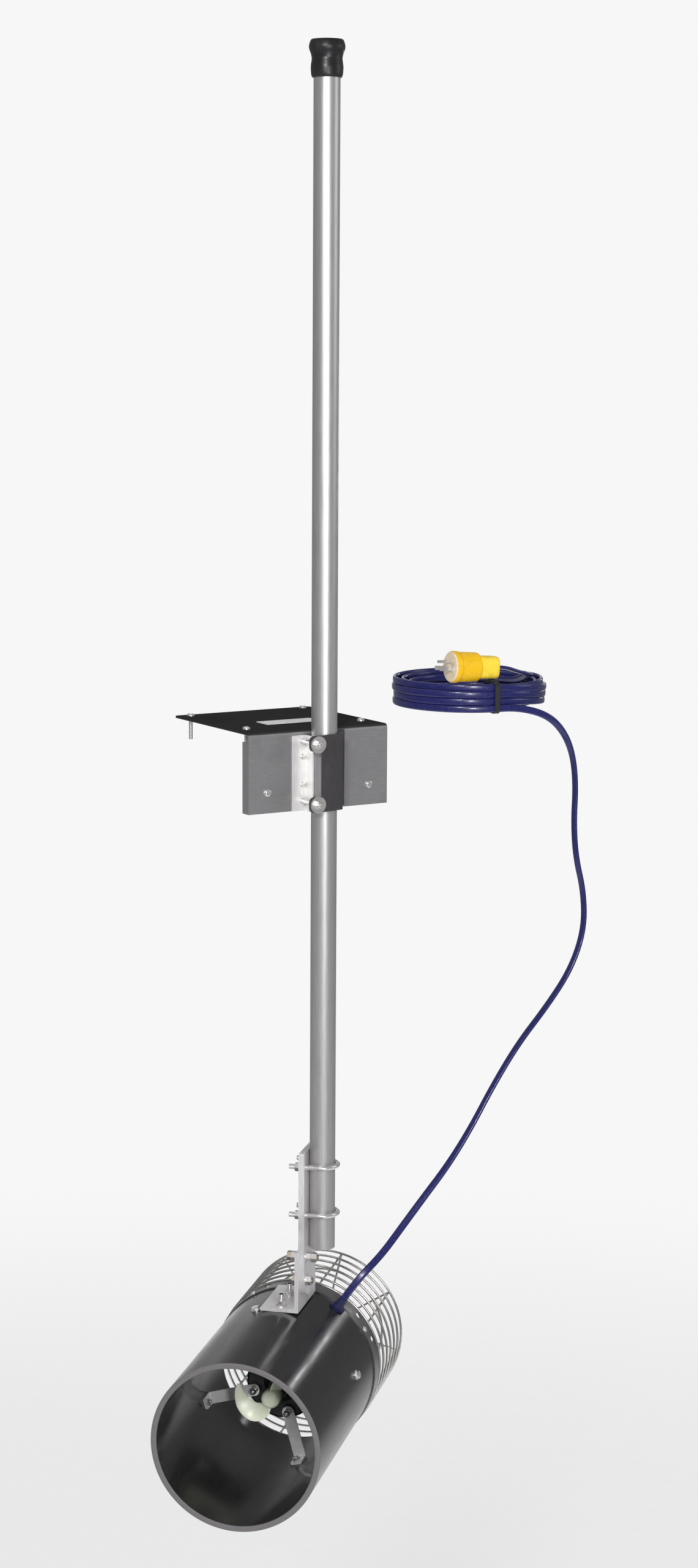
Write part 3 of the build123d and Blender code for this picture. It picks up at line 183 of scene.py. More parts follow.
@dataclass(frozen=True)
class Graph:
    """A shader tree whose nodes are added together with their values and links."""

    tree: bpy.types.NodeTree

    def feed(self, node: Node, inputs: dict[str | int, object]) -> None:
        """Link each socket into the input it is given for, and set each plain value.

        Args:
            node: The node that takes them.
            inputs: Socket or value by the input's name or number.
        """
        for name, value in inputs.items():
            if isinstance(value, Socket):
                self.tree.links.new(value, node.inputs[name])
            else:
                node.inputs[name].default_value = value

    def add(self, kind: str, inputs: dict[str | int, object] | None = None, **settings: object) -> Node:
        """Add a node.

        Args:
            kind: The node's type.
            inputs: Socket or value by the input's name or number.
            settings: Values of the node's own properties.

        Returns:
            The new node.
        """
        node = self.tree.nodes.new(kind)
        for name, value in settings.items():
            setattr(node, name, value)
        self.feed(node, inputs or {})
        return node

    def calculate(self, operation: str, first: object, second: object) -> Socket:
        """Result of a calculation with two sockets or values."""
        return self.add("ShaderNodeMath", {0: first, 1: second}, operation=operation).outputs[0]

    def span(self, value: Socket, window: Pair, to: Pair = (0.0, 1.0), rise: Rise = Rise.SMOOTH) -> Socket:
        """Carry a value from one range to another, held at the ends.

        Args:
            value: The value.
            window: Where the value starts and stops to count.
            to: Result at the two ends of the window.
            rise: How the result runs between them.

        Returns:
            The result.
        """
        ends = {"From Min": window[0], "From Max": window[1], "To Min": to[0], "To Max": to[1]}
        node = self.add("ShaderNodeMapRange", {"Value": value, **ends}, interpolation_type=rise.value)
        return node.outputs["Result"]

    def mix(self, factor: Socket, below: object, above: object) -> Socket:
        """Colour that goes from one to another with a factor."""
        inputs = {"Factor": factor, "A": below, "B": above}
        return self.add("ShaderNodeMix", inputs, data_type="RGBA").outputs["Result"]

    def seen_rays(self) -> Socket:
        """One for camera, glossy and transmission rays, and nothing for the rest.

        Returns:
            Largest of the three marks.
        """
        rays = self.add("ShaderNodeLightPath").outputs
        mirrored = self.calculate("MAXIMUM", rays["Is Camera Ray"], rays["Is Glossy Ray"])
        return self.calculate("MAXIMUM", mirrored, rays["Is Transmission Ray"])


def grain_group(detail: float = 4.0, roughness: float = 0.62) -> bpy.types.NodeTree:
    """Noise group for drawn, rolled or brushed surfaces, read at the place times the stretch.

    Args:
        detail: Number of finer layers in the noise.
        roughness: Strength of each finer layer.

    Returns:
        The group.
    """
    graph = Graph(bpy.data.node_groups.new("DrawnGrain", "ShaderNodeTree"))
    for label, kind in (("Vector", "Vector"), ("Stretch", "Vector"), ("Scale", "Float")):
        graph.tree.interface.new_socket(name=label, in_out="INPUT", socket_type=f"NodeSocket{kind}")
    graph.tree.interface.new_socket(name="Grain", in_out="OUTPUT", socket_type="NodeSocketFloat")
    given = graph.add("NodeGroupInput").outputs
    both = {0: given["Vector"], 1: given["Stretch"]}
    place = graph.add("ShaderNodeVectorMath", both, operation="MULTIPLY").outputs["Vector"]
    inputs = {"Vector": place, "Scale": given["Scale"], "Detail": detail, "Roughness": roughness}
    noise = graph.add("ShaderNodeTexNoise", inputs)
    graph.add("NodeGroupOutput", {"Grain": noise.outputs["Fac"]})
    return graph.tree


@dataclass(frozen=True)
class Grain:
    """Fine noise of a surface. It runs along the axis with the smallest stretch."""

    scale: float
    bump: float
    stretch: Point = (1.0, 1.0, 1.0)
    turned: float = 0.0


@dataclass(frozen=True)
class Stain:
    """A tone laid over a surface where a broad noise is high."""

    tone: Point
    amount: float
    scale: float


@dataclass(frozen=True)
class Finish:
    """What a surface looks like close up, with linear colours."""

    name: str
    slot: Slot
    tone: Point
    tone_to: Point
    roughness: Pair
    grain: Grain
    stain: Stain | None = None
    metallic: float = 0.0
    ior: float = 1.5
    coat: float = 0.0
    subsurface: float = 0.0
    # Painted reflection: a near-black tone laid over a surface from a given height up, standing in for the
    # dark surroundings that its top would mirror.
    painted_reflection_tone: Point | None = None
    painted_reflection_from: float = 0.0


@dataclass(frozen=True)
class Finishes:
    """Builds each finish once and hands out its material."""

    grain_window: Pair = (0.32, 0.68)
    stain_window: Pair = (0.45, 0.75)
    rough_window: Pair = (0.7, 1.3)
    plain_scale: float = 9.0
    stain_detail: float = 6.0
    coat_roughness: float = 0.06
    glow_depth: float = 4.0 * MM
    glow_reach: Point = (1.0, 1.0, 0.8)
    # Fade height and strength of the painted dark reflection on a surface's top.
    painted_reflection_fade: float = 3.0 * MM
    painted_reflection_cover: float = 0.94
    specular: float = 0.5
    grain: bpy.types.NodeTree = field(default_factory=grain_group)
    made: dict[str, Material] = field(default_factory=dict)

    def material(self, finish: Finish) -> Material:
        """Material of a finish.

        Args:
            finish: The finish.

        Returns:
            Its material, made the first time it is asked for.
        """
        if finish.name not in self.made:
            self.made[finish.name] = self.build(finish)
        return self.made[finish.name]

    def build(self, finish: Finish) -> Material:
        """Make the node material of a finish.

        Args:
            finish: The finish.

        Returns:
            A material whose colour and bump follow the grain, and whose roughness follows
            the grain plus the stains.
        """
        material = bpy.data.materials.new(finish.name)
        material.use_nodes = True
        graph = Graph(material.node_tree)
        shader = graph.tree.nodes["Principled BSDF"]
        place = graph.add("ShaderNodeTexCoord").outputs["Object"]
        turn = {"Vector": place, "Rotation": (0.0, 0.0, finish.grain.turned)}
        turned = graph.add("ShaderNodeMapping", turn).outputs["Vector"]
        drawn = {"Vector": turned, "Stretch": finish.grain.stretch, "Scale": finish.grain.scale}
        grain = graph.add("ShaderNodeGroup", drawn, node_tree=self.grain).outputs["Grain"]
        scale = finish.stain.scale if finish.stain else self.plain_scale
        broad = {"Vector": turned, "Scale": scale, "Detail": self.stain_detail}
        stain = graph.add("ShaderNodeTexNoise", broad).outputs["Fac"]

        ramp = graph.add("ShaderNodeValToRGB", {"Fac": grain})
        tones = (finish.tone, finish.tone_to)
        for stop, where, tone in zip(ramp.color_ramp.elements, self.grain_window, tones):
            stop.position, stop.color = where, (*tone, 1.0)
        colour = ramp.outputs["Color"]
        if finish.stain is not None:
            cover = graph.span(stain, self.stain_window, (0.0, finish.stain.amount))
            colour = graph.mix(cover, colour, (*finish.stain.tone, 1.0))
        graph.feed(shader, {"Metallic": finish.metallic})
        # Painted reflection: from the finish's given height up, the colour turns near-black and metallic and
        # specular fall away. This stands in for dark surroundings mirrored by the top, not for a real paint.
        if finish.painted_reflection_tone is not None:
            height = graph.add("ShaderNodeSeparateXYZ", {"Vector": place}).outputs["Z"]
            window = (finish.painted_reflection_from, finish.painted_reflection_from + self.painted_reflection_fade)
            cover = graph.span(height, window, (0.0, self.painted_reflection_cover))
            colour = graph.mix(cover, colour, (*finish.painted_reflection_tone, 1.0))
            for name, level in (("Metallic", finish.metallic), ("Specular IOR Level", self.specular)):
                graph.feed(shader, {name: graph.span(height, window, (level, 0.0), Rise.EVEN)})
        if finish.subsurface:
            depth = {"Subsurface Scale": self.glow_depth, "Subsurface Radius": self.glow_reach}
            graph.feed(shader, {"Subsurface Weight": finish.subsurface, **depth})

        both = graph.calculate("ADD", grain, stain)
        bump = {"Strength": finish.grain.bump, "Distance": MM, "Height": grain}
        graph.feed(shader, {
            "Base Color": colour,
            "IOR": finish.ior,
            "Coat Weight": finish.coat,
            "Coat Roughness": self.coat_roughness,
            "Roughness": graph.span(both, self.rough_window, finish.roughness, Rise.EVEN),
            "Normal": graph.add("ShaderNodeBump", bump).outputs["Normal"],
        })
        return material


# The bracket's flat top above the bend carries a near-black painted reflection over the rolled steel.
FACE_STEEL = Finish(
    "rolled_face_steel_painted_reflection", Slot.BRACKET, (0.33, 0.323, 0.33), (0.42, 0.412, 0.42), (0.3, 0.44),
    Grain(1100.0, 0.04, (0.05, 1.0, 1.0)), Stain((0.22, 0.215, 0.22), 0.6, 11.0),
    metallic=0.7, painted_reflection_tone=(0.010, 0.010, 0.011), painted_reflection_from=-0.002,
)
GUIDE_STEEL = Finish(
    "bright_guide_metal", Slot.BRIGHT, (0.80, 0.79, 0.78), (0.94, 0.93, 0.92), (0.25, 0.4),
    Grain(900.0, 0.04, (1.0, 1.0, 0.05)), Stain((0.55, 0.53, 0.52), 0.35, 30.0), metallic=0.5,
)
JAW_STEEL = Finish(
    "dark_jaw_steel", Slot.BRACKET, (0.044, 0.040, 0.043), (0.062, 0.058, 0.061), (0.42, 0.56),
    Grain(800.0, 0.04, (1.0, 1.0, 0.08)), Stain((0.11, 0.105, 0.11), 0.3, 16.0), metallic=0.3,
)
HEAD_STEEL = Finish(
    "head_angle_metal", Slot.BRACKET, (0.64, 0.625, 0.63), (0.84, 0.825, 0.83), (0.3, 0.46),
    Grain(900.0, 0.05, (1.0, 1.0, 0.06), HEADING), Stain((0.20, 0.19, 0.195), 0.5, 13.0), metallic=0.4,
)
HARDWARE = Finish(
    "stainless_hardware", Slot.HARDWARE, (0.68, 0.675, 0.66), (0.92, 0.91, 0.90), (0.16, 0.32),
    Grain(900.0, 0.05), Stain((0.24, 0.22, 0.19), 0.35, 60.0), metallic=0.82,
)
BRASS = Finish(
    "tarnished_bolt", Slot.BRASS, (0.32, 0.265, 0.205), (0.48, 0.42, 0.35), (0.28, 0.44),
    Grain(700.0, 0.05), Stain((0.15, 0.11, 0.08), 0.5, 50.0), metallic=0.8,
)
POLE_METAL = Finish(
    "drawn_pole_metal", Slot.POLE, (0.52, 0.51, 0.515), (0.62, 0.61, 0.615), (0.36, 0.46),
    Grain(900.0, 0.03, (1.0, 1.0, 0.02)), Stain((0.42, 0.41, 0.415), 0.3, 7.0), metallic=0.85,
)
VINYL = Finish(
    "black_vinyl", Slot.VINYL, (0.006, 0.006, 0.007), (0.016, 0.016, 0.018), (0.28, 0.5),
    Grain(650.0, 0.12), Stain((0.05, 0.05, 0.05), 0.4, 30.0), ior=1.48,
)
PIPE = Finish(
    "pipe_plastic", Slot.PIPE, (0.0165, 0.0148, 0.0158), (0.0215, 0.0196, 0.0208), (0.16, 0.26),
    Grain(160.0, 0.008, (1.0, 0.12, 1.0), HEADING), Stain((0.026, 0.024, 0.0255), 0.35, 5.0), ior=1.36,
)
CUT_RIM = Finish(
    "cut_pipe_rim", Slot.PIPE, (0.11, 0.104, 0.108), (0.16, 0.152, 0.157), (0.45, 0.7),
    Grain(900.0, 0.12, turned=HEADING),
)
PLATE = Finish(
    "bare_plate", Slot.PLATE, (0.62, 0.63, 0.62), (0.72, 0.73, 0.72), (0.3, 0.5),
    Grain(300.0, 0.03), Stain((0.45, 0.45, 0.42), 0.3, 20.0),
)
NYLON = Finish(
    "pale_nylon", Slot.NYLON, (0.80, 0.88, 0.66), (0.90, 0.95, 0.77), (0.25, 0.42),
    Grain(160.0, 0.04), Stain((0.6, 0.67, 0.46), 0.3, 22.0), ior=1.52, subsurface=0.3,
)
MOTOR_PAINT = Finish(
    "motor_paint", Slot.CORE, (0.045, 0.048, 0.052), (0.075, 0.079, 0.084), (0.3, 0.48),
    Grain(420.0, 0.12, turned=HEADING), Stain((0.03, 0.03, 0.03), 0.4, 25.0), metallic=0.1, coat=0.15,
)
MOTOR_CAN = Finish(
    "motor_can_metal", Slot.BRIGHT, (0.42, 0.42, 0.41), (0.62, 0.62, 0.6), (0.24, 0.4),
    Grain(420.0, 0.08, (1.0, 0.06, 1.0), HEADING), metallic=1.0,
)
CORE = Finish(
    "lamination_steel", Slot.CORE, (0.12, 0.12, 0.12), (0.24, 0.24, 0.24), (0.35, 0.55),
    Grain(900.0, 0.2, (0.05, 1.0, 0.05), HEADING), metallic=0.9,
)
RUBBER = Finish(
    "black_rubber", Slot.RUBBER, (0.008, 0.008, 0.008), (0.02, 0.02, 0.02), (0.42, 0.62), Grain(900.0, 0.14),
)
STRUT_STEEL = Finish(
    "strap_metal", Slot.BRIGHT, (0.74, 0.73, 0.73), (0.90, 0.89, 0.88), (0.28, 0.44),
    Grain(500.0, 0.05, turned=HEADING), Stain((0.3, 0.3, 0.29), 0.35, 30.0), metallic=0.4,
)
GUARD_WIRE = Finish(
    "guard_wire", Slot.BRIGHT, (0.46, 0.45, 0.44), (0.70, 0.69, 0.67), (0.22, 0.38),
    Grain(600.0, 0.06, turned=HEADING), Stain((0.24, 0.22, 0.20), 0.4, 26.0), metallic=1.0,
)
GUARD_BAND = Finish(
    "brushed_guard_band", Slot.BRIGHT, (0.20, 0.195, 0.19), (0.34, 0.33, 0.325), (0.26, 0.42),
    Grain(700.0, 0.06, (1.0, 0.3, 1.0), HEADING), Stain((0.07, 0.068, 0.066), 0.6, 20.0), metallic=0.9,
)
JACKET = Finish(
    "blue_jacket", Slot.BLUE, (0.010, 0.0115, 0.082), (0.017, 0.019, 0.128), (0.18, 0.32),
    Grain(240.0, 0.04), coat=0.2,
)
BUSHING = Finish(
    "navy_bushing", Slot.BLUE, (0.004, 0.006, 0.045), (0.008, 0.010, 0.07), (0.35, 0.5), Grain(500.0, 0.08),
)
YELLOW = Finish(
    "yellow_plug", Slot.YELLOW, (0.80, 0.45, 0.0), (0.90, 0.54, 0.001), (0.26, 0.42),
    Grain(260.0, 0.04), Stain((0.66, 0.38, 0.0), 0.3, 40.0),
)
GRIP = Finish(
    "yellow_grip", Slot.YELLOW, (0.88, 0.62, 0.035), (0.97, 0.72, 0.06), (0.3, 0.46),
    Grain(260.0, 0.05), Stain((0.6, 0.40, 0.02), 0.35, 55.0),
)
CREAM = Finish(
    "cream_face", Slot.CREAM, (0.74, 0.60, 0.42), (0.84, 0.72, 0.54), (0.3, 0.46),
    Grain(260.0, 0.04), subsurface=0.15,
)
FLOOR = Finish(
    "pale_floor", Slot.PLATE, (0.86, 0.86, 0.86), (0.90, 0.90, 0.90), (0.75, 0.9), Grain(40.0, 0.01),
)

NODE_FINISHES: dict[str, Finish] = {
    name: finish
    for finish, names in (
        (FACE_STEEL, "dock_bracket"),
        (GUIDE_STEEL, "pole_guide"),
        (JAW_STEEL, "clamp_jaw"),
        (HEAD_STEEL, "mount_bar mount_angle"),
        (HARDWARE, "deck_screws face_screws guide_screws guide_nuts clamp_bolts clamp_washers clamp_nuts"),
        (HARDWARE, "jaw_screws jaw_nuts bar_washers bar_nuts u_bolts u_bolt_washers u_bolt_nuts foot_bolts"),
        (HARDWARE, "foot_washers foot_nuts strut_bolts strut_nuts tie_bolts acorn_nuts front_bearing"),
        (HARDWARE, "rear_bearing motor_shaft shear_pin guard_screws plug_blades plug_ground_pin"),
        (BRASS, "bar_bolts"),
        (POLE_METAL, "pole"),
        (VINYL, "pole_cap"),
        (PIPE, "housing_tube"),
        (PLATE, "label_plate"),
        (NYLON, "propeller"),
        (MOTOR_PAINT, "front_bell rear_bell"),
        (MOTOR_CAN, "motor_can"),
        (CORE, "stator rotor_core"),
        (RUBBER, "shaft_seal motor_gland coil_tie"),
        (STRUT_STEEL, "motor_struts"),
        (GUARD_WIRE, "guard_rings guard_rods"),
        (GUARD_BAND, "guard_band"),
        (JACKET, "motor_lead cord_lower cord_upper cord_coil plug_lead"),
        (BUSHING, "cord_bushing"),
        (YELLOW, "plug_body"),
        (GRIP, "plug_tail"),
        (CREAM, "plug_face"),
    )
    for name in names.split()
}


# Mesh building


@dataclass
class Surface:
    """Grids of points gathered before they become one Blender mesh."""

    vertices: list[Array] = field(default_factory=list)
    faces: list[list[int]] = field(default_factory=list)
    slots: list[int] = field(default_factory=list)
    count: int = 0

    def grid(
        self, rings: Array, around: bool = True, along: bool = False, ends: bool = False, slot: int = 0
    ) -> Surface:
        """Add a grid of quads between rings of points.

        Args:
            rings: Points by ring and by place in the ring.
            around: Whether each ring closes on itself.
            along: Whether the last ring joins the first.
            ends: Whether the first and last rings are filled.
            slot: Material slot of the faces.

        Returns:
            This surface.
        """
        rows, columns = rings.shape[:2]
        numbers = np.arange(rows * columns).reshape(rows, columns) + self.count
        steps = ((0, 0), (0, -1), (-1, -1), (-1, 0))
        kept = (slice(None if along else rows - 1), slice(None if around else columns - 1))
        corners = [np.roll(numbers, step, (0, 1))[kept] for step in steps]
        faces = np.stack(corners, axis=-1).reshape(-1, 4).tolist()
        if ends:
            faces += [numbers[0, ::-1].tolist(), numbers[-1].tolist()]
        self.vertices.append(rings.reshape(-1, 3))
        self.faces += faces
        self.slots += [slot] * len(faces)
        self.count += rows * columns
        return self

    def moved(self, place: Place, scale: float = 1.0) -> Surface:
        """Scale the points and move them from a place's own frame to the row frame."""
        self.vertices = [place.points(points * scale) for points in self.vertices]
        return self

    def piece(self, name: str, materials: Sequence[Material], crease: float) -> Piece:
        """Make the mesh object.

        Args:
            name: Name of the object.
            materials: Materials by slot.
            crease: Angle in degrees above which an edge stays sharp.

        Returns:
            The new object, linked to the scene.
        """
        mesh = bpy.data.meshes.new(name)
        mesh.from_pydata(np.concatenate(self.vertices).tolist(), [], self.faces)
        mesh.polygons.foreach_set("material_index", self.slots)
        for material in materials:
            mesh.materials.append(material)
        mesh.update()
        mesh.shade_smooth()
        mesh.set_sharp_from_angle(angle=math.radians(crease))
        thing = bpy.data.objects.new(name, mesh)
        bpy.context.scene.collection.objects.link(thing)
        return thing


@dataclass(frozen=True)
class Part:
    """One riding piece before it is made, with the CAD nodes that it replaces."""

    name: str
    surface: Surface
    finishes: tuple[Finish, ...]
    crease: float
    body: Body
    replaced: tuple[str, ...] = ()


class SubAssembly(ABC):
    """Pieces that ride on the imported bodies. Each kind lists its own parts."""

    @abstractmethod
    def parts(self) -> list[Part]:
        """Parts of the sub-assembly, in the row frame."""

    def build(self, finishes: Finishes) -> list[Piece]:
        """Make and dress each part, hide the CAD nodes that it replaces, and make it ride.

        Args:
            finishes: Where materials come from.

        Returns:
            The pieces.
        """
        made = []
        for part in self.parts():
            materials = [finishes.material(finish) for finish in part.finishes]
            piece = part.surface.piece(part.name, materials, part.crease)
            if part.replaced:
                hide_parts(*part.replaced)
            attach(piece, part.body.value)
            made.append(piece)
        return made


def circle(count: int, phase: float = 0.0) -> Array:
    """Unit circle as cosine and sine columns."""
    angle = np.arange(count) * TURN / count + phase
    return np.stack([np.cos(angle), np.sin(angle)], axis=1)


def bell(distance: Array) -> Array:
    """Bell curve: one at nothing, and e to the minus square of the distance elsewhere."""
    return np.exp(-(distance**2))


def eased(share: Array) -> Array:
    """Share held between nothing and one, then three squares less two cubes of it."""
    held = np.clip(share, 0.0, 1.0)
    return held * held * (3 - 2 * held)


def unit_rows(vectors: Array) -> Array:
    """Rows scaled to length one."""
    return vectors / np.maximum(np.linalg.norm(vectors, axis=-1, keepdims=True), 1e-12)


def line_tangents(line: Array) -> Array:
    """Directions along a line, from the differences of its points."""
    return unit_rows(np.gradient(line, axis=0))


def line_length(line: Array) -> float:
    """Length of a line through points."""
    return float(np.linalg.norm(np.diff(line, axis=0), axis=1).sum())


def raised(flat: Array, heights: Array) -> Array:
    """Flat rings set at their heights on the Z axis."""
    return np.concatenate([flat, np.broadcast_to(heights[:, None, None], (*flat.shape[:2], 1))], axis=-1)


def lathe(profile: Array | Sequence[Pair], count: int, ripple: Array | None = None) -> Array:
    """Rings of a turned shape: each radius times the unit circle, at its height on the Z axis.

    Args:
        profile: Radius and height of each ring.
        count: Points round each ring.
        ripple: Optional change of each ring's radius.

    Returns:
        Points by ring and by place in the ring.
    """
    radius, height = np.array(profile, float).T
    if ripple is not None:
        radius = radius + ripple
    return raised(radius[:, None, None] * circle(count), height)


def along_y(points: Array) -> Array:
    """Turn local Z into the head's Y axis."""
    return np.stack([points[..., 0], points[..., 2], -points[..., 1]], axis=-1)


def smooth_curve(points: Array, per_step: int) -> Array:
    """Catmull-Rom curve: a cubic of each point, its neighbours and the next one but one.

    Args:
        points: Values at the given places, one row each.
        per_step: Samples between neighbours.

    Returns:
        Samples along the curve, first and last point included.
    """
    padded = np.vstack([2 * points[0] - points[1], points, 2 * points[-1] - points[-2]])
    steps = len(points) - 1
    before, start, end, after = (padded[i : i + steps, None] for i in range(4))
    t = (np.arange(per_step) / per_step)[:, None]
    squares = (2 * before - 5 * start + 4 * end - after) * t**2
    cubes = (3 * start - before - 3 * end + after) * t**3
    curve = 0.5 * (2 * start + (end - before) * t + squares + cubes)
    return np.vstack([curve.reshape(-1, points.shape[1]), points[-1]])


def nurbs_line(points: Array, name: str) -> Array:
    """Smooth line of a cord, read from its NURBS spline.

    Args:
        points: The route's control points.
        name: Name for the scratch curve.

    Returns:
        Points along the smooth line.
    """
    data = bpy.data.curves.new(name, "CURVE")
    data.dimensions = "3D"
    data.resolution_u = 6
    spline = data.splines.new("NURBS")
    spline.points.add(len(points) - 1)
    spline.points.foreach_set("co", np.hstack([points, np.ones((len(points), 1))]).ravel())
    spline.order_u = 3
    spline.use_endpoint_u = True
    holder = bpy.data.objects.new(name, data)
    mesh = bpy.data.meshes.new_from_object(holder)
    line = np.empty(3 * len(mesh.vertices), np.float32)
    mesh.vertices.foreach_get("co", line)
    bpy.data.meshes.remove(mesh)
    bpy.data.objects.remove(holder)
    bpy.data.curves.remove(data)
    return line.reshape(-1, 3).astype(float)


def carried_frames(line: Array, first: Array) -> tuple[Array, Array]:
    """Normals carried along a line with no twist of their own, and what is square to both.

    Args:
        line: Points along the line.
        first: Direction that the first normal should follow.

    Returns:
        Normals and sides, one row for each point.
    """
    tangents = line_tangents(line)
    normals = np.zeros_like(line)
    normal = first
    for i, tangent in enumerate(tangents):
        normal = normal - tangent * (normal @ tangent)
        normals[i] = normal = normal / np.linalg.norm(normal)
    return normals, np.cross(tangents, normals)


# Pieces that replace CAD nodes or add to them


@dataclass(frozen=True)
class FlatCord:
    """Section of the two-core supply cord."""

    width: float = 12.0 * MM
    thickness: float = 6.4 * MM
    samples: int = 20
    apart: float = 1.35
    valley: float = 0.09
    valley_width: float = 0.35

    def section(self) -> Array:
        """Outline of the jacket: two round cores with a shallow valley between them.

        Returns:
            Points of a circle whose halves move apart and whose height falls by a bell
            curve in the middle.
        """
        radius = self.thickness / 2
        c, s = circle(self.samples, math.pi / self.samples).T
        apart = (self.width / 2 - radius) * np.sign(c) * np.minimum(1.0, np.abs(c) * self.apart)
        valley = 1.0 - self.valley * bell(c / self.valley_width)
        return np.stack([apart + radius * c, radius * s * valley], axis=1)

    def tube(self, line: Array, across: Array) -> Array:
        """Rings of the jacket: the outline carried along a line.

        Args:
            line: Points along the cord.
            across: Direction of the cord's width at each point.

        Returns:
            Points by ring and by place in the ring.
        """
        through = np.cross(line_tangents(line), across)
        outline = self.section()
        return line[:, None] + outline[:, :1] * across[:, None] + outline[:, 1:] * through[:, None]


@dataclass(frozen=True)
class Coil:
    """Loosely wound turns, given in millimetres by the radius and height each turn keeps to."""

    slots: tuple[Pair, ...] = (
        (128.5, 8.6), (127.0, 20.6), (129.0, 32.4), (126.5, 43.8), (113.5, 41.0), (116.0, 28.0),
        (114.0, 13.0), (101.0, 9.5), (99.0, 22.5), (101.5, 35.5), (104.0, 46.5),
    )
    start: float = -108.5
    finish: float = -22.5
    steps_per_turn: int = 16
    change_from: float = 0.72
    waves: Pair = (1.3, 0.9)
    wave_lag: float = 1.7
    lift: float = 0.25
    lift_lag: float = 200.0
    strap: float = STRAP_DEGREES
    strap_pull: float = 3.4
    strap_spread: float = 24.0
    pull_from: float = 105.0

    def points(self) -> Array:
        """Control points of the turns, clockwise seen from above.

        Returns:
            Points at the slots' radius and height. Two slow waves change the radius, and a
            bell curve of the angle from the strap draws the outer turns in under it.
        """
        step = 360.0 / self.steps_per_turn
        whole = (len(self.slots) - 1) * 360.0 + self.start - self.finish
        turned = np.arange(round(whole / step)) * step
        turn = turned / 360.0
        radius, height = self.slot_at(turn).T
        angle = np.radians(self.start - turned)
        waves = self.waves[0] * np.sin(2 * angle + turn)
        waves += self.waves[1] * np.sin(3 * angle + self.wave_lag * turn)
        from_strap = (self.start - turned - self.strap + 180.0) % 360.0 - 180.0
        outer = np.maximum(radius - self.pull_from, 0.0) / self.strap_spread
        pulled_in = self.strap_pull * bell(from_strap / self.strap_spread) * outer
        shrink = 0.5 * (1.0 + math.cos(math.radians(step / 2)))
        reach = (radius + waves - pulled_in) / shrink
        level = height + self.lift * np.sin(angle + turned / self.lift_lag)
        points = np.stack([reach * np.cos(angle), reach * np.sin(angle), level], axis=1)
        return Place((*COIL_CENTRE, 0.0)).points(points * MM)

    def slot_at(self, turn: Array) -> Array:
        """Radius and height at numbers of turns from the start, eased from slot to slot.

        Args:
            turn: Numbers of turns.

        Returns:
            Radius and height, one row each.
        """
        table = np.array(self.slots)
        index = np.minimum(turn.astype(int), len(table) - 1)
        after = np.minimum(index + 1, len(table) - 1)
        share = eased((turn - index - self.change_from) / (1.0 - self.change_from))
        return table[index] + (table[after] - table[index]) * share[:, None]


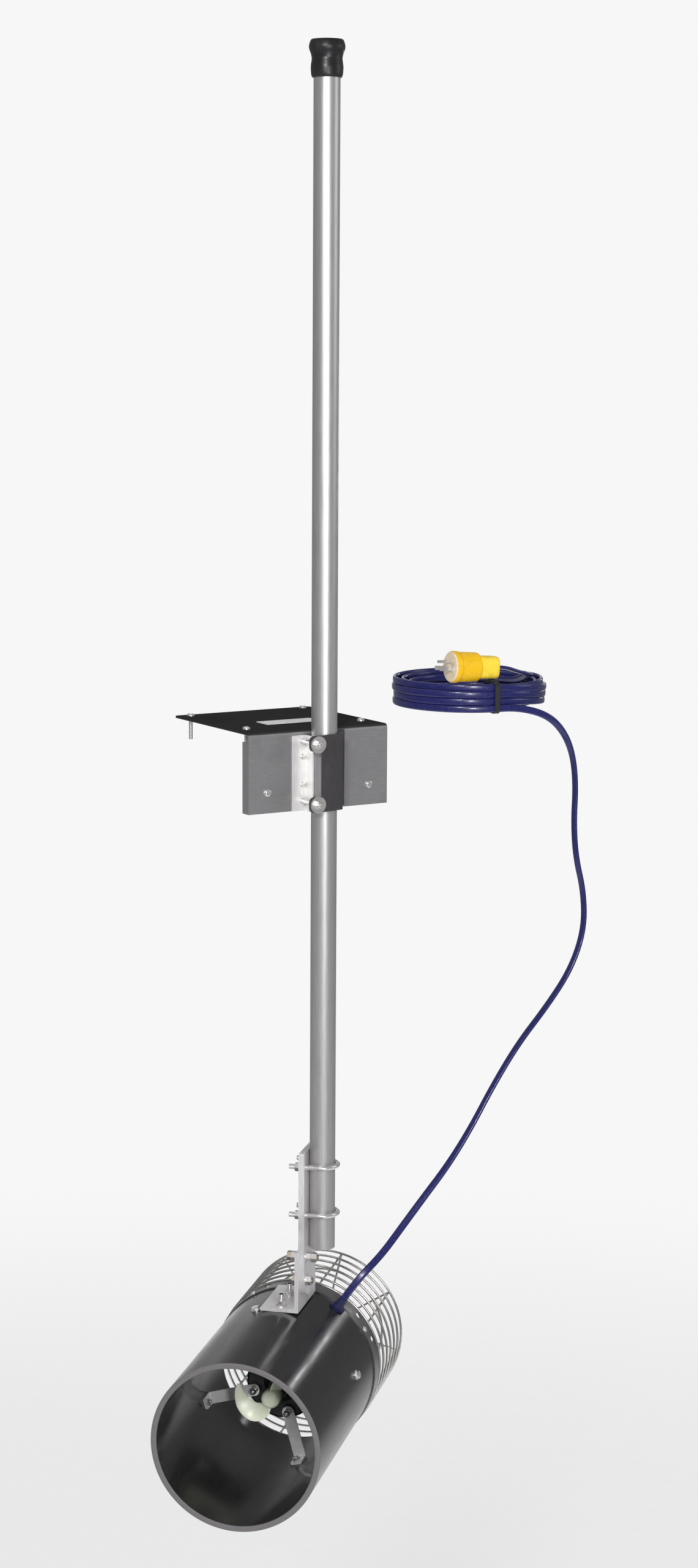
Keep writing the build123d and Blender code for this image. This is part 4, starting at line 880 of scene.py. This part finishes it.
@dataclass(frozen=True)
class SupplyCord:
    """The blue cord: a lower stretch, and an upper stretch with the coil and the plug's lead."""

    section: FlatCord = FlatCord()
    coil: Coil = Coil()
    hanging_turn: float = math.radians(38.0)
    coil_joint: Point = (0.432, -0.125, -0.012)
    first_normal: Point = (0.3, 0.95, 0.1)
    hanging_ease: Pair = (-2.2, 1.0)
    lead_ease: Pair = (-0.4, 1.0)
    lead_samples: int = 60
    housing_ease: Pair = (-0.35, 1.25)

    def build(self, finishes: Finishes) -> list[Piece]:
        """Args:
            finishes: Where materials come from.

        Returns:
            The upper and the lower stretch.
        """
        line = nurbs_line(np.vstack([UPPER_ROUTE, self.coil.points(), PLUG_LEAD]), "upper_route")
        across = self.upper_widths(line)
        upper = self.stretch(finishes, "cord_and_coil", line, across)
        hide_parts("cord_upper", "cord_coil", "plug_lead")
        plug = [frame["nodes"][n] for n in ("plug_blades", "plug_ground_pin")]
        plug += [bpy.data.objects[n] for n in ("plug_housing", "plug_pale_face", "plug_grip", "coil_strap")]
        round(line_length(line), 2)
        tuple(self.coil_joint)
        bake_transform(upper)

        line = nurbs_line(np.array(LOWER_ROUTE[::-1]), "lower_route")
        lower = self.stretch(finishes, "cord_from_housing", line, self.lower_widths(line, across[0]))
        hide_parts("cord_lower")
        round(line_length(line), 2)
        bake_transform(lower)
        return [upper, lower]

    def stretch(self, finishes: Finishes, name: str, line: Array, across: Array) -> Piece:
        """Make one stretch of cord.

        Args:
            finishes: Where materials come from.
            name: Name of the piece.
            line: Points along the cord.
            across: Direction of the cord's width at each point.

        Returns:
            The stretch.
        """
        surface = Surface().grid(self.section.tube(line, across), ends=True)
        piece = surface.piece(name, [finishes.material(JACKET)], 60.0)
        LOG.info("%s is %.3f m long", name, line_length(line))
        return piece

    @staticmethod
    def angles_to(target: Array, normals: Array, sides: Array) -> Array:
        """Angles from the normals at which the cord's width points along a target."""
        return np.unwrap(np.arctan2(sides @ target, normals @ target))

    @staticmethod
    def twisted(normals: Array, sides: Array, angle: Array) -> Array:
        """Normals turned about the line: cosine of the normal plus sine of the side."""
        return normals * np.cos(angle)[:, None] + sides * np.sin(angle)[:, None]

    def lower_widths(self, line: Array, first: Array) -> Array:
        """Width direction along the lower stretch: it turns from hanging to flat at the housing.

        Args:
            line: Points along the cord.
            first: Width direction that the first normal follows.

        Returns:
            Width direction at each point.
        """
        normals, sides = carried_frames(line, first)
        share = eased(np.linspace(*self.housing_ease, len(line)))
        turned_flat = self.hanging_turn + (math.pi / 2 - self.hanging_turn) * share
        return self.twisted(normals, sides, self.angles_to(FRONT_VIEW, normals, sides) - turned_flat)

    def upper_widths(self, line: Array) -> Array:
        """Width direction along the upper stretch: on edge in the coil, flat under the plug.

        Args:
            line: Points along the cord.

        Returns:
            Width direction at each point.
        """
        normals, sides = carried_frames(line, np.array(self.first_normal))
        ends = np.array([UPPER_ROUTE[-1], PLUG_LEAD[0]])
        first, last = np.argmin(np.linalg.norm(line - ends[:, None], axis=-1), axis=1)
        wanted = self.angles_to(UP, normals, sides)
        hanging = self.angles_to(FRONT_VIEW, normals[:first], sides[:first]) + self.hanging_turn
        hanging += math.pi * round((wanted[first] - hanging[-1]) / math.pi)
        angle = wanted.copy()
        angle[:first] = hanging + (wanted[first] - hanging) * eased(np.linspace(*self.hanging_ease, first))
        start = last - self.lead_samples
        flat = np.zeros(len(line))
        flat[start:] = eased(np.linspace(*self.lead_ease, len(line) - start)) * math.pi / 2
        angle += flat
        angle[last:] = angle[last] + flat[last:] - flat[last]
        return self.twisted(normals, sides, angle)


@dataclass(frozen=True)
class HousingTube(SubAssembly):
    """The straight plastic pipe, with a paler cut rim at each end."""

    outer: float = 136.525 * MM
    wall: float = 9.27 * MM
    length: float = 381.0 * MM
    chamfer: float = 1.2 * MM
    round_in: float = 0.45
    round_along: float = 0.3
    rows: int = 28
    around: int = 192

    def parts(self) -> list[Part]:
        """Pipe of turned profiles: two walls and two rounded rims.

        Returns:
            The pipe.
        """
        bore, c = self.outer - self.wall, self.chamfer
        pipe = Surface()
        places = np.linspace(c, self.length - c, self.rows)
        for radius, run in ((self.outer, places), (bore, places[::-1])):
            pipe.grid(along_y(lathe([(radius, y) for y in run], self.around)))
        for end, inner, step in ((0.0, c, -1), (self.length, self.length - c, 1)):
            between = end + (inner - end) * self.round_along
            rim = [(self.outer, inner), (self.outer - c * self.round_in, between), (self.outer - c, end),
                   (bore + c, end), (bore + c * self.round_in, between), (bore, inner)]
            pipe.grid(along_y(lathe(rim[::step], self.around)), slot=1)
        return [Part("housing_pipe", pipe.moved(HEAD), (PIPE, CUT_RIM), 30.0, Body.HEAD, ("housing_tube",))]


@dataclass(frozen=True)
class WireGuard(SubAssembly):
    """Welded wires over the intake: hoops, bent long wires and rear rings."""

    hoop_radius: float = 138.725 * MM
    rod_radius: float = 134.995 * MM
    wire: float = 2.0 * MM
    rod: float = 1.7 * MM
    first: float = 404.0 * MM
    pitch: float = 27.3 * MM
    hoops: int = 7
    rods: int = 8
    first_rod: float = math.radians(58.5)
    rod_start: float = 383.0 * MM
    rear: float = 571.8 * MM
    bend: float = 4.0 * MM
    rear_radii: Point = (35.0 * MM, 70.0 * MM, 105.0 * MM)
    rear_place: float = 568.07 * MM
    tip: float = 32.0 * MM
    weld: float = 0.35
    weld_angle: float = 3.9
    weld_spread: float = 0.02
    bead: float = 0.3
    bead_spread: float = 1.6 * MM
    bend_from: float = 0.2
    samples: tuple[int, int, int] = (90, 6, 60)
    first_normal: Point = (0.3, 0.4, 0.86)

    def parts(self) -> list[Part]:
        """Hoops, rear rings and long wires.

        Returns:
            The guard's wires as one piece.
        """
        basket = Surface()
        for place in self.hoop_places():
            self.hoop(basket, self.hoop_radius, place)
        for radius in self.rear_radii:
            self.hoop(basket, radius, self.rear_place)
        for i in range(self.rods):
            self.long_wire(basket, self.first_rod + i * TURN / self.rods)
        replaced = ("guard_rings", "guard_rods")
        return [Part("wire_guard", basket.moved(HEAD), (GUARD_WIRE,), 40.0, Body.HEAD, replaced)]

    def hoop_places(self) -> Array:
        """Places of the hoops along the head's axis."""
        return self.first + self.pitch * np.arange(self.hoops)

    def hoop(self, basket: Surface, radius: float, place: float, count: int = 144, around: int = 12) -> None:
        """Add one hoop: a ring of circles that swell by a bell curve at the butt weld.

        Args:
            basket: Surface that takes it.
            radius: Radius of the hoop.
            place: Its place along the head's axis.
            count: Circles round the hoop.
            around: Points round each circle.
        """
        c, s = circle(count).T[..., None]
        from_weld = np.arange(count)[:, None] * TURN / count - self.weld_angle
        swell = 1.0 + self.weld * bell(from_weld / self.weld_spread)
        r, y = (self.wire * swell * column for column in circle(around).T)
        basket.grid(np.stack([(radius + r) * s, place + y, (radius + r) * c], axis=-1), along=True)

    def long_wire(self, basket: Surface, angle: float, around: int = 10) -> None:
        """Add one long wire, bent inwards at the rear: circles along a line, swollen at each weld.

        Args:
            basket: Surface that takes it.
            angle: The wire's angle round the head's axis.
            around: Points round each circle.
        """
        straight = np.linspace(self.rod_start, self.rear - self.bend, self.samples[0])
        turn = np.linspace(self.bend_from, math.pi / 2, self.samples[1])
        inward = np.linspace(self.rod_radius - self.bend - MM, self.tip, self.samples[2])
        bent_in = self.rod_radius - self.bend * (1 - np.cos(turn))
        bent_back = self.rear - self.bend * (1 - np.sin(turn))
        reach = np.concatenate([np.full_like(straight, self.rod_radius), bent_in, inward])
        place = np.concatenate([straight, bent_back, np.full_like(inward, self.rear)])
        line = np.stack([reach * math.sin(angle), place, reach * math.cos(angle)], axis=1)
        at_hoops = bell((place[:, None] - self.hoop_places()) / self.bead_spread).sum(axis=1)
        at_rings = bell((reach[:, None] - np.array(self.rear_radii)) / self.bead_spread).sum(axis=1)
        beads = at_hoops * (reach > self.rod_radius - MM) + at_rings * (place > self.rear - MM)
        normals, sides = carried_frames(line, np.array(self.first_normal))
        unit = circle(around)
        ring = unit[:, :1] * normals[:, None] + unit[:, 1:] * sides[:, None]
        basket.grid(line[:, None] + self.rod * (1.0 + self.bead * beads)[:, None, None] * ring, ends=True)


@dataclass(frozen=True)
class Propeller(SubAssembly):
    """Two scimitar blades on a closed round hub, in millimetres.

    Each station of a blade has its radius, angle, chord, thickness and pitch. The hub's
    profile has a radius and a place along the axis for each ring.
    """

    middle: float = 221.0
    bulge: float = 0.25
    steps: int = 6
    blade_around: int = 28
    hub_around: int = 64
    stations: tuple[tuple[float, ...], ...] = (
        (9.0, -160.0, 19.0, 4.6, 52.0), (26.0, -150.0, 28.0, 4.2, 40.0), (40.0, -132.0, 31.0, 3.6, 32.0),
        (48.5, -108.0, 26.0, 3.0, 27.0), (55.0, -86.0, 15.0, 2.2, 24.0), (59.0, -72.0, 4.0, 1.6, 22.0),
    )
    hub: tuple[Pair, ...] = (
        (0.001, 206.0), (5.0, 206.15), (9.5, 207.0), (12.6, 208.6), (14.6, 210.8), (15.5, 214.0),
        (15.5, 234.8), (14.3, 236.0), (7.0, 236.0),
    )

    def parts(self) -> list[Part]:
        """Two blades, one turned half a turn from the other, and the hub.

        Returns:
            The propeller.
        """
        blade = self.blade()
        wheel = Surface().grid(blade, ends=True).grid(blade * np.array([-1.0, 1.0, -1.0]), ends=True)
        wheel.grid(along_y(lathe(self.hub, self.hub_around))).moved(HEAD, MM)
        return [Part("scimitar_propeller", wheel, (NYLON,), 45.0, Body.ROTOR, ("propeller",))]

    def blade(self) -> Array:
        """Rings of one blade: ellipses along a smooth curve, thicker at the leading edge.

        Returns:
            Points by ring and by place in the ring.
        """
        radius, angle, *sizes = np.array(self.stations).T
        angle = np.radians(angle)
        places = [radius * np.sin(angle), np.full_like(radius, self.middle), radius * np.cos(angle)]
        fine = smooth_curve(np.column_stack([*places, *sizes]), self.steps)
        line = fine[:, :3]
        across = np.array([0.0, 1.0, 0.0])
        tangents = line_tangents(line)
        pitch = np.radians(fine[:, 5:])
        chord = unit_rows(np.cross(across, tangents)) * np.cos(pitch) + across * np.sin(pitch)
        normal = np.cross(tangents, chord)
        c, s = circle(self.blade_around).T[..., None]
        wide = fine[:, None, 3:4] / 2 * c * chord[:, None]
        thick = fine[:, None, 4:5] / 2 * s * (1.0 - self.bulge * c) * normal[:, None]
        return line[:, None] + wide + thick


@dataclass(frozen=True)
class PoleCap(SubAssembly):
    """Soft vinyl cap with a flared lip, a waist and a rolled skirt, in millimetres."""

    top: float = 1065.0
    pinhole: float = 0.02
    steps: int = 4
    around: int = 96
    profile: tuple[Pair, ...] = (
        (0.0, -0.6), (9.0, -0.45), (17.0, -0.1), (22.65, 0.0), (24.65, -0.7), (26.45, -4.0), (27.95, -10.5),
        (27.25, -15.5), (25.45, -20.0), (24.15, -25.0), (23.65, -29.0), (24.25, -34.0), (25.05, -41.0),
        (24.85, -47.0), (24.45, -52.0), (23.45, -55.6), (22.35, -57.0), (20.65, -57.0),
    )

    def parts(self) -> list[Part]:
        """Smooth curve through the profile, turned about the pole.

        Returns:
            The cap.
        """
        fine = smooth_curve(np.array(self.profile), self.steps)
        fine[:, 0] = np.maximum(fine[:, 0], self.pinhole)
        cap = Surface().grid(lathe(fine, self.around)).moved(Place((*POLE_AXIS, self.top * MM)), MM)
        return [Part("soft_cap", cap, (VINYL,), 50.0, Body.POLE, ("pole_cap",))]


@dataclass(frozen=True)
class Plug(SubAssembly):
    """Yellow plug with a pale face, a ribbed housing and a squared cord grip, in millimetres."""

    radius: float = 26.5
    rear_radius: float = 24.5
    front: float = 3.0
    back: float = 50.0
    rim: float = 9.0
    slim: float = 1.4
    slope_rows: int = 97
    around: int = 72
    tail_half: float = 19.0
    tail_power: float = 0.55
    groove: float = 0.28
    ring_pitch: float = 3.6
    tail: tuple[Pair, ...] = (
        (0.0, 0.4), (1.0, 0.0), (4.0, 0.0), (4.6, 1.0), (5.8, 1.0), (6.4, 0.0), (28.0, 0.0), (34.0, 0.4),
        (35.5, 1.6), (36.0, 3.2),
    )
    face: tuple[Pair, ...] = (
        (0.02, 0.5), (8.0, 0.5), (8.6, 0.1), (21.0, 0.0), (24.0, 0.3), (25.0, 1.2), (25.0, 3.3),
    )

    def parts(self) -> list[Part]:
        """The plug's three moulded pieces.

        Returns:
            The pale face, the housing and the grip.
        """
        moulded = ((lathe(self.face, self.around), False), (self.housing(), True), (self.grip(), True))
        face, housing, grip = (
            Surface().grid(rings[:, ::-1], ends=ends).moved(PLUG, MM) for rings, ends in moulded
        )
        return [
            Part("plug_pale_face", face, (CREAM,), 35.0, Body.DOCK, ("plug_face",)),
            Part("plug_housing", housing, (YELLOW,), 40.0, Body.DOCK, ("plug_body",)),
            Part("plug_grip", grip, (GRIP,), 40.0, Body.DOCK, ("plug_tail",)),
        ]

    def housing(self) -> Array:
        """Turned housing with a raised rim, and grooves that follow the fourth power of a wave.

        Returns:
            Points by ring and by place in the ring.
        """
        start, slim = self.front + self.rim, self.radius - self.slim
        slope = np.linspace(start + 3.0, self.back - 2.5, self.slope_rows)
        rim = [(self.radius - 1.2, self.front), (self.radius - 0.3, self.front + 0.3),
               (self.radius, self.front + 1.2), (self.radius, start - 1.0), (self.radius - 0.5, start),
               (slim, start + 1.2)]
        barrel = np.column_stack([np.interp(slope, slope[[0, -1]], [slim, self.rear_radius]), slope])
        heel = [(self.rear_radius - 0.4, self.back - 1.0), (self.rear_radius - 1.4, self.back - 0.2),
                (self.rear_radius - 3.0, self.back)]
        profile = np.vstack([rim, barrel, heel])
        level = profile[:, 1] - slope[0]
        wave = (0.5 + 0.5 * np.cos(TURN * level / self.ring_pitch)) ** 4
        held = np.clip(level / 2.0, 0, 1) * np.clip((slope[-1] - profile[:, 1]) / 2.0, 0, 1)
        return lathe(profile, 2 * self.around, -self.groove * wave * held)

    def grip(self) -> Array:
        """Cord grip with a parting groove: circles made square by a power of each coordinate.

        Returns:
            Points by ring and by place in the ring.
        """
        behind, inset = np.array(self.tail).T
        unit = circle(self.around)
        flat = (self.tail_half - inset)[:, None, None] * np.sign(unit) * np.abs(unit) ** self.tail_power
        return raised(flat, self.back + behind)


@dataclass(frozen=True)
class CoilStrap(SubAssembly):
    """Black strap pulled round the coil's section, with a buckle on top, in millimetres."""

    inner: float = 81.6
    outer: float = 130.1
    top: float = 51.6
    band: float = 1.4
    width: float = 9.0
    corner: float = 8.0
    angle: float = math.radians(STRAP_DEGREES)
    bars: Pair = (-6.0, 4.0)
    bar_width: float = 3.0
    bar_height: float = 2.4
    bar_past: float = 1.0
    taper: Pair = (0.4, 0.94)

    def parts(self) -> list[Part]:
        """Flat band between two outlines, and two tapered bars as its buckle.

        Returns:
            The strap.
        """
        half = self.width / 2
        loop, shell = self.outline(0.0), self.outline(self.band)
        sides = ((loop, -half), (loop, half), (shell, half), (shell, -half))
        walls = [np.insert(outline, 1, y, axis=1) for outline, y in sides]
        strap = Surface().grid(np.stack(walls, axis=1), along=True)
        low = self.top + self.band
        for offset in self.bars:
            x = (self.inner + self.outer) / 2 + offset
            y, end = half + self.bar_past, x + self.bar_width
            base = np.array([(x, -y, low), (x, y, low), (end, y, low), (end, -y, low)])
            lid = base * np.array([1.0, self.taper[1], 1.0]) + self.bar_height * UP
            lid[:, 0] += self.taper[0] * np.array([1.0, 1.0, -1.0, -1.0])
            strap.grid(np.stack([base, lid]), ends=True)
        strap.moved(Place.turned((*COIL_CENTRE, 0.0), self.angle), MM)
        return [Part("coil_strap", strap, (RUBBER,), 30.0, Body.DOCK, ("coil_tie",))]

    def outline(self, out: float) -> Array:
        """Rounded rectangle round the coil's section: a quarter circle at each corner.

        Args:
            out: Distance that it is moved outwards.

        Returns:
            Distance from the coil's axis and height of each point.
        """
        radius = self.corner + out
        left, right = self.inner - out + radius, self.outer + out - radius
        low, high = self.band - out + radius, self.top + out - radius
        centres = np.array([(right, high), (left, high), (left, low), (right, low)])
        angle = np.radians(np.arange(4)[:, None] * 90.0 + np.linspace(0.0, 90.0, 8))
        return (centres[:, None] + radius * np.stack([np.cos(angle), np.sin(angle)], axis=-1)).reshape(-1, 2)


@dataclass(frozen=True)
class Thread:
    """Thread on a stud's free end, just proud of the CAD shank, in millimetres."""

    radius: float
    start: Point
    direction: Point
    length: float
    pitch: float
    proud: float = 0.02
    depth: float = 0.3
    tip: float = 0.86
    count: int = 20
    rows: int = 6

    def rings(self) -> int:
        """Number of circles along the thread, with some for each pitch."""
        return max(int(self.length / self.pitch * self.rows), self.rows)

    def add_to(self, surface: Surface) -> None:
        """Add circles along the stud whose radius follows a saw wave that winds round it.

        Args:
            surface: Surface that takes them.
        """
        direction = np.array(self.direction)
        helper = UP if abs(direction[2]) < 0.9 else np.array([1.0, 0.0, 0.0])
        side = unit_rows(np.cross(direction, helper))
        other = np.cross(direction, side)
        along = np.linspace(0.0, self.length, self.rings())[:, None]
        share = np.arange(self.count) / self.count
        wave = np.abs((along / self.pitch - share) % 1.0 - 0.5) * 2
        radius = self.radius + self.proud + self.depth * wave
        radius[-1] = self.radius * self.tip
        c, s = circle(self.count).T[..., None]
        middle = np.array(self.start) + along[..., None] * direction
        surface.grid(middle + radius[..., None] * (c * side + s * other), ends=True)


@dataclass(frozen=True)
class StudThreads(SubAssembly):
    """Threads on every stud end that shows, in millimetres."""

    clamp_heights: Pair = (-14.5, -110.3)
    crest: float = 136.525
    bar_heights: Pair = (162.0, 242.0)
    bar_sides: Pair = (258.7, 309.5)
    foot_places: Pair = (259.0, 313.0)
    foot_height: float = 14.95
    brass_ends: tuple[Pair, Pair] = ((56.5, 53.0), (64.9, 92.0))

    def parts(self) -> list[Part]:
        """One threaded piece for each body and finish.

        Returns:
            The threads of the clamp, the head and the bar's bolts.
        """
        clamp = [Thread(3.95, (-30.65, -198.7, z), (0.0, -1.0, 0.0), 4.3, 1.25) for z in self.clamp_heights]
        head = [Thread(3.97, (29.1, y, self.crest + z), (-1.0, 0.0, 0.0), 10.1, 1.4)
                for z in self.bar_heights for y in self.bar_sides]
        head += [Thread(3.97, (5.65, y, self.crest + self.foot_height), (0.0, 0.0, 1.0), 11.4, 1.4)
                 for y in self.foot_places]
        brass = [Thread(4.75, (x, 260.0, self.crest + z), (1.0, 0.0, 0.0), 2.2, 1.5)
                 for x, z in self.brass_ends]
        made = []
        for name, threads, finish, body, place in (
            ("clamp_threads", clamp, HARDWARE, Body.DOCK, ROW),
            ("head_threads", head, HARDWARE, Body.HEAD, HEAD),
            ("bar_bolt_threads", brass, BRASS, Body.HEAD, HEAD),
        ):
            surface = Surface()
            for thread in threads:
                thread.add_to(surface)
            made.append(Part(name, surface.moved(place, MM), (finish,), 70.0, body))
        return made


# Studio


@dataclass(frozen=True)
class Camera:
    """Camera fitted to the photograph."""

    place: Point = (-2.2808, -4.0056, 0.6112)
    heading: float = math.radians(31.156)
    pitch: float = math.radians(8.824)
    roll: float = math.radians(0.323)
    lens: float = 65.532
    sensor: float = 36.0
    far: float = 100.0

    def forward(self) -> Vector:
        """Direction the camera looks in."""
        flat = math.cos(self.pitch)
        return Vector((math.sin(self.heading) * flat, math.cos(self.heading) * flat, -math.sin(self.pitch)))

    def level(self) -> Vector:
        """Level direction to the camera's right, before its roll."""
        return Vector((math.cos(self.heading), -math.sin(self.heading), 0.0))

    def build(self) -> None:
        """Make the camera and set it as the scene's own."""
        forward, level = self.forward(), self.level()
        up = level.cross(forward)
        right = level * math.cos(self.roll) + up * math.sin(self.roll)
        top = up * math.cos(self.roll) - level * math.sin(self.roll)
        data = bpy.data.cameras.new("photo_camera")
        data.sensor_fit = "AUTO"
        data.sensor_width = self.sensor
        data.lens = self.lens
        data.clip_end = self.far
        camera = bpy.data.objects.new("photo_camera", data)
        axes = Matrix((right, top, -forward)).transposed().to_4x4()
        camera.matrix_world = Matrix.Translation(self.place) @ axes
        bpy.context.scene.collection.objects.link(camera)
        bpy.context.scene.camera = camera


@dataclass(frozen=True)
class Softbox:
    """One soft area light."""

    name: str
    place: Point
    target: Point
    size: Pair
    power: float

    def build(self) -> None:
        """Make the light."""
        data = bpy.data.lights.new(self.name, "AREA")
        data.shape = "RECTANGLE"
        data.size, data.size_y = self.size
        data.energy = self.power
        light = bpy.data.objects.new(self.name, data)
        light.location = self.place
        light.rotation_euler = (Vector(self.target) - Vector(self.place)).to_track_quat("-Z", "Y").to_euler()
        bpy.context.scene.collection.objects.link(light)


@dataclass(frozen=True)
class Studio:
    """Pale seamless floor, pale backdrop and soft lights at a plain level."""

    camera: Camera = Camera()
    floor_height: float = -2.26
    floor_half: float = 6.0
    floor_fade: Pair = (2.8, 5.6)
    floor_glow: float = 0.62
    backdrop: tuple[float, ...] = (0.93, 0.93, 0.93, 1.0)
    surroundings: tuple[float, ...] = (0.23, 0.23, 0.235, 1.0)
    ambient: tuple[float, ...] = (0.46, 0.46, 0.47, 1.0)
    ahead_edge: Pair = (0.0, 0.3)
    side_edge: Pair = (-0.26, -0.135)
    down_edge: Pair = (-0.28, -0.14)
    lights: tuple[Softbox, ...] = (
        Softbox("key_light", (-3.0, -3.6, 1.9), (0.0, -0.15, -0.2), (0.7, 0.7), 122.0),
        Softbox("front_light", (-1.5, -4.4, 0.2), (-0.1, -0.3, -0.8), (0.5, 0.5), 72.0),
        Softbox("right_light", (3.4, -2.2, 1.2), (0.0, -0.1, -0.3), (1.8, 1.8), 15.0),
        Softbox("streak_light", (3.83, 1.72, 0.32), (-0.16, -0.23, -0.98), (0.16, 0.16), 2.4),
        Softbox("top_light", (0.6, 1.6, 3.6), (0.0, 0.0, -0.2), (2.6, 1.8), 22.0),
    )

    def build(self, finishes: Finishes) -> None:
        """Make the studio.

        Args:
            finishes: Where materials come from.
        """
        bpy.context.scene.view_settings.view_transform = "Standard"
        bpy.context.scene.world = self.world()
        for light in self.lights:
            light.build()
        self.floor(finishes.material(FLOOR))
        self.camera.build()

    def pale_sheet(self, graph: Graph, ray: Socket) -> Socket:
        """Mask of the pale sheet that hangs behind the object and runs out below it.

        Args:
            graph: Tree that takes the nodes.
            ray: Direction of the ray.

        Returns:
            Product of one soft edge for each direction, each a smooth step of the ray's
            share along it.
        """
        level, down = self.camera.level(), Vector((0.0, 0.0, -1.0))
        sheet: object = 1.0
        for direction, window in (
            (self.camera.forward(), self.ahead_edge),
            (level, self.side_edge),
            (-level, self.side_edge),
            (down, self.down_edge),
        ):
            along = graph.add("ShaderNodeVectorMath", {0: ray, 1: tuple(direction)}, operation="DOT_PRODUCT")
            sheet = graph.calculate("MULTIPLY", sheet, graph.span(along.outputs["Value"], window))
        return sheet

    def world(self) -> bpy.types.World:
        """Pale backdrop for the camera, metal and glass, and an even ambient level for the rest.

        Returns:
            The world.
        """
        world = bpy.data.worlds.new("studio_world")
        world.use_nodes = True
        graph = Graph(world.node_tree)
        ray = graph.add("ShaderNodeTexCoord").outputs["Generated"]
        wall = graph.mix(self.pale_sheet(graph, ray), self.surroundings, self.backdrop)
        level = graph.mix(graph.seen_rays(), self.ambient, wall)
        graph.feed(graph.tree.nodes["Background"], {"Color": level})
        return world

    def floor(self, material: Material, count: int = 9) -> None:
        """Large pale floor that melts into the backdrop away from the object.

        Args:
            material: The floor's plain material, which gets the fade.
            count: Points along each side.
        """
        graph = Graph(material.node_tree)
        place = graph.add("ShaderNodeTexCoord").outputs["Object"]
        reach = graph.add("ShaderNodeVectorMath", {0: place}, operation="LENGTH").outputs["Value"]
        share = graph.calculate("MULTIPLY", graph.seen_rays(), self.floor_glow)
        glow = graph.add("ShaderNodeEmission", {"Color": self.backdrop}).outputs[0]
        away = graph.add("ShaderNodeBsdfTransparent").outputs[0]
        plain = graph.tree.nodes["Principled BSDF"].outputs[0]
        lit = graph.add("ShaderNodeMixShader", {0: share, 1: plain, 2: glow}).outputs[0]
        fade = graph.span(reach, self.floor_fade, (1.0, 0.0))
        blend = graph.add("ShaderNodeMixShader", {0: fade, 1: away, 2: lit}).outputs[0]
        graph.feed(graph.tree.nodes["Material Output"], {"Surface": blend})
        side = np.linspace(-self.floor_half, self.floor_half, count)
        x, y = np.meshgrid(side, side, indexing="ij")
        rings = np.stack([x, y, np.full_like(x, self.floor_height)], axis=-1)
        Surface().grid(rings, around=False).piece("studio_floor", [material], 35.0)


def paint_cad_nodes(finishes: Finishes) -> None:
    """Give every CAD node its finish.

    Args:
        finishes: Where materials come from.
    """
    for name, node in frame["nodes"].items():
        for slot in node.material_slots:
            slot.material = finishes.material(NODE_FINISHES[name])
        LOG.info("%s: %s", name, NODE_FINISHES[name].name)


def main() -> None:
    """Dress the model, add the new pieces and set the studio."""
    finishes = Finishes()
    paint_cad_nodes(finishes)
    for maker in (
        HousingTube(), WireGuard(), Propeller(), PoleCap(), Plug(), CoilStrap(), SupplyCord(), StudThreads()
    ):
        for piece in maker.build(finishes):
            LOG.info("%s: %d vertices", piece.name, len(piece.data.vertices))
    Studio().build(finishes)


if __name__ == "__main__":
    main()
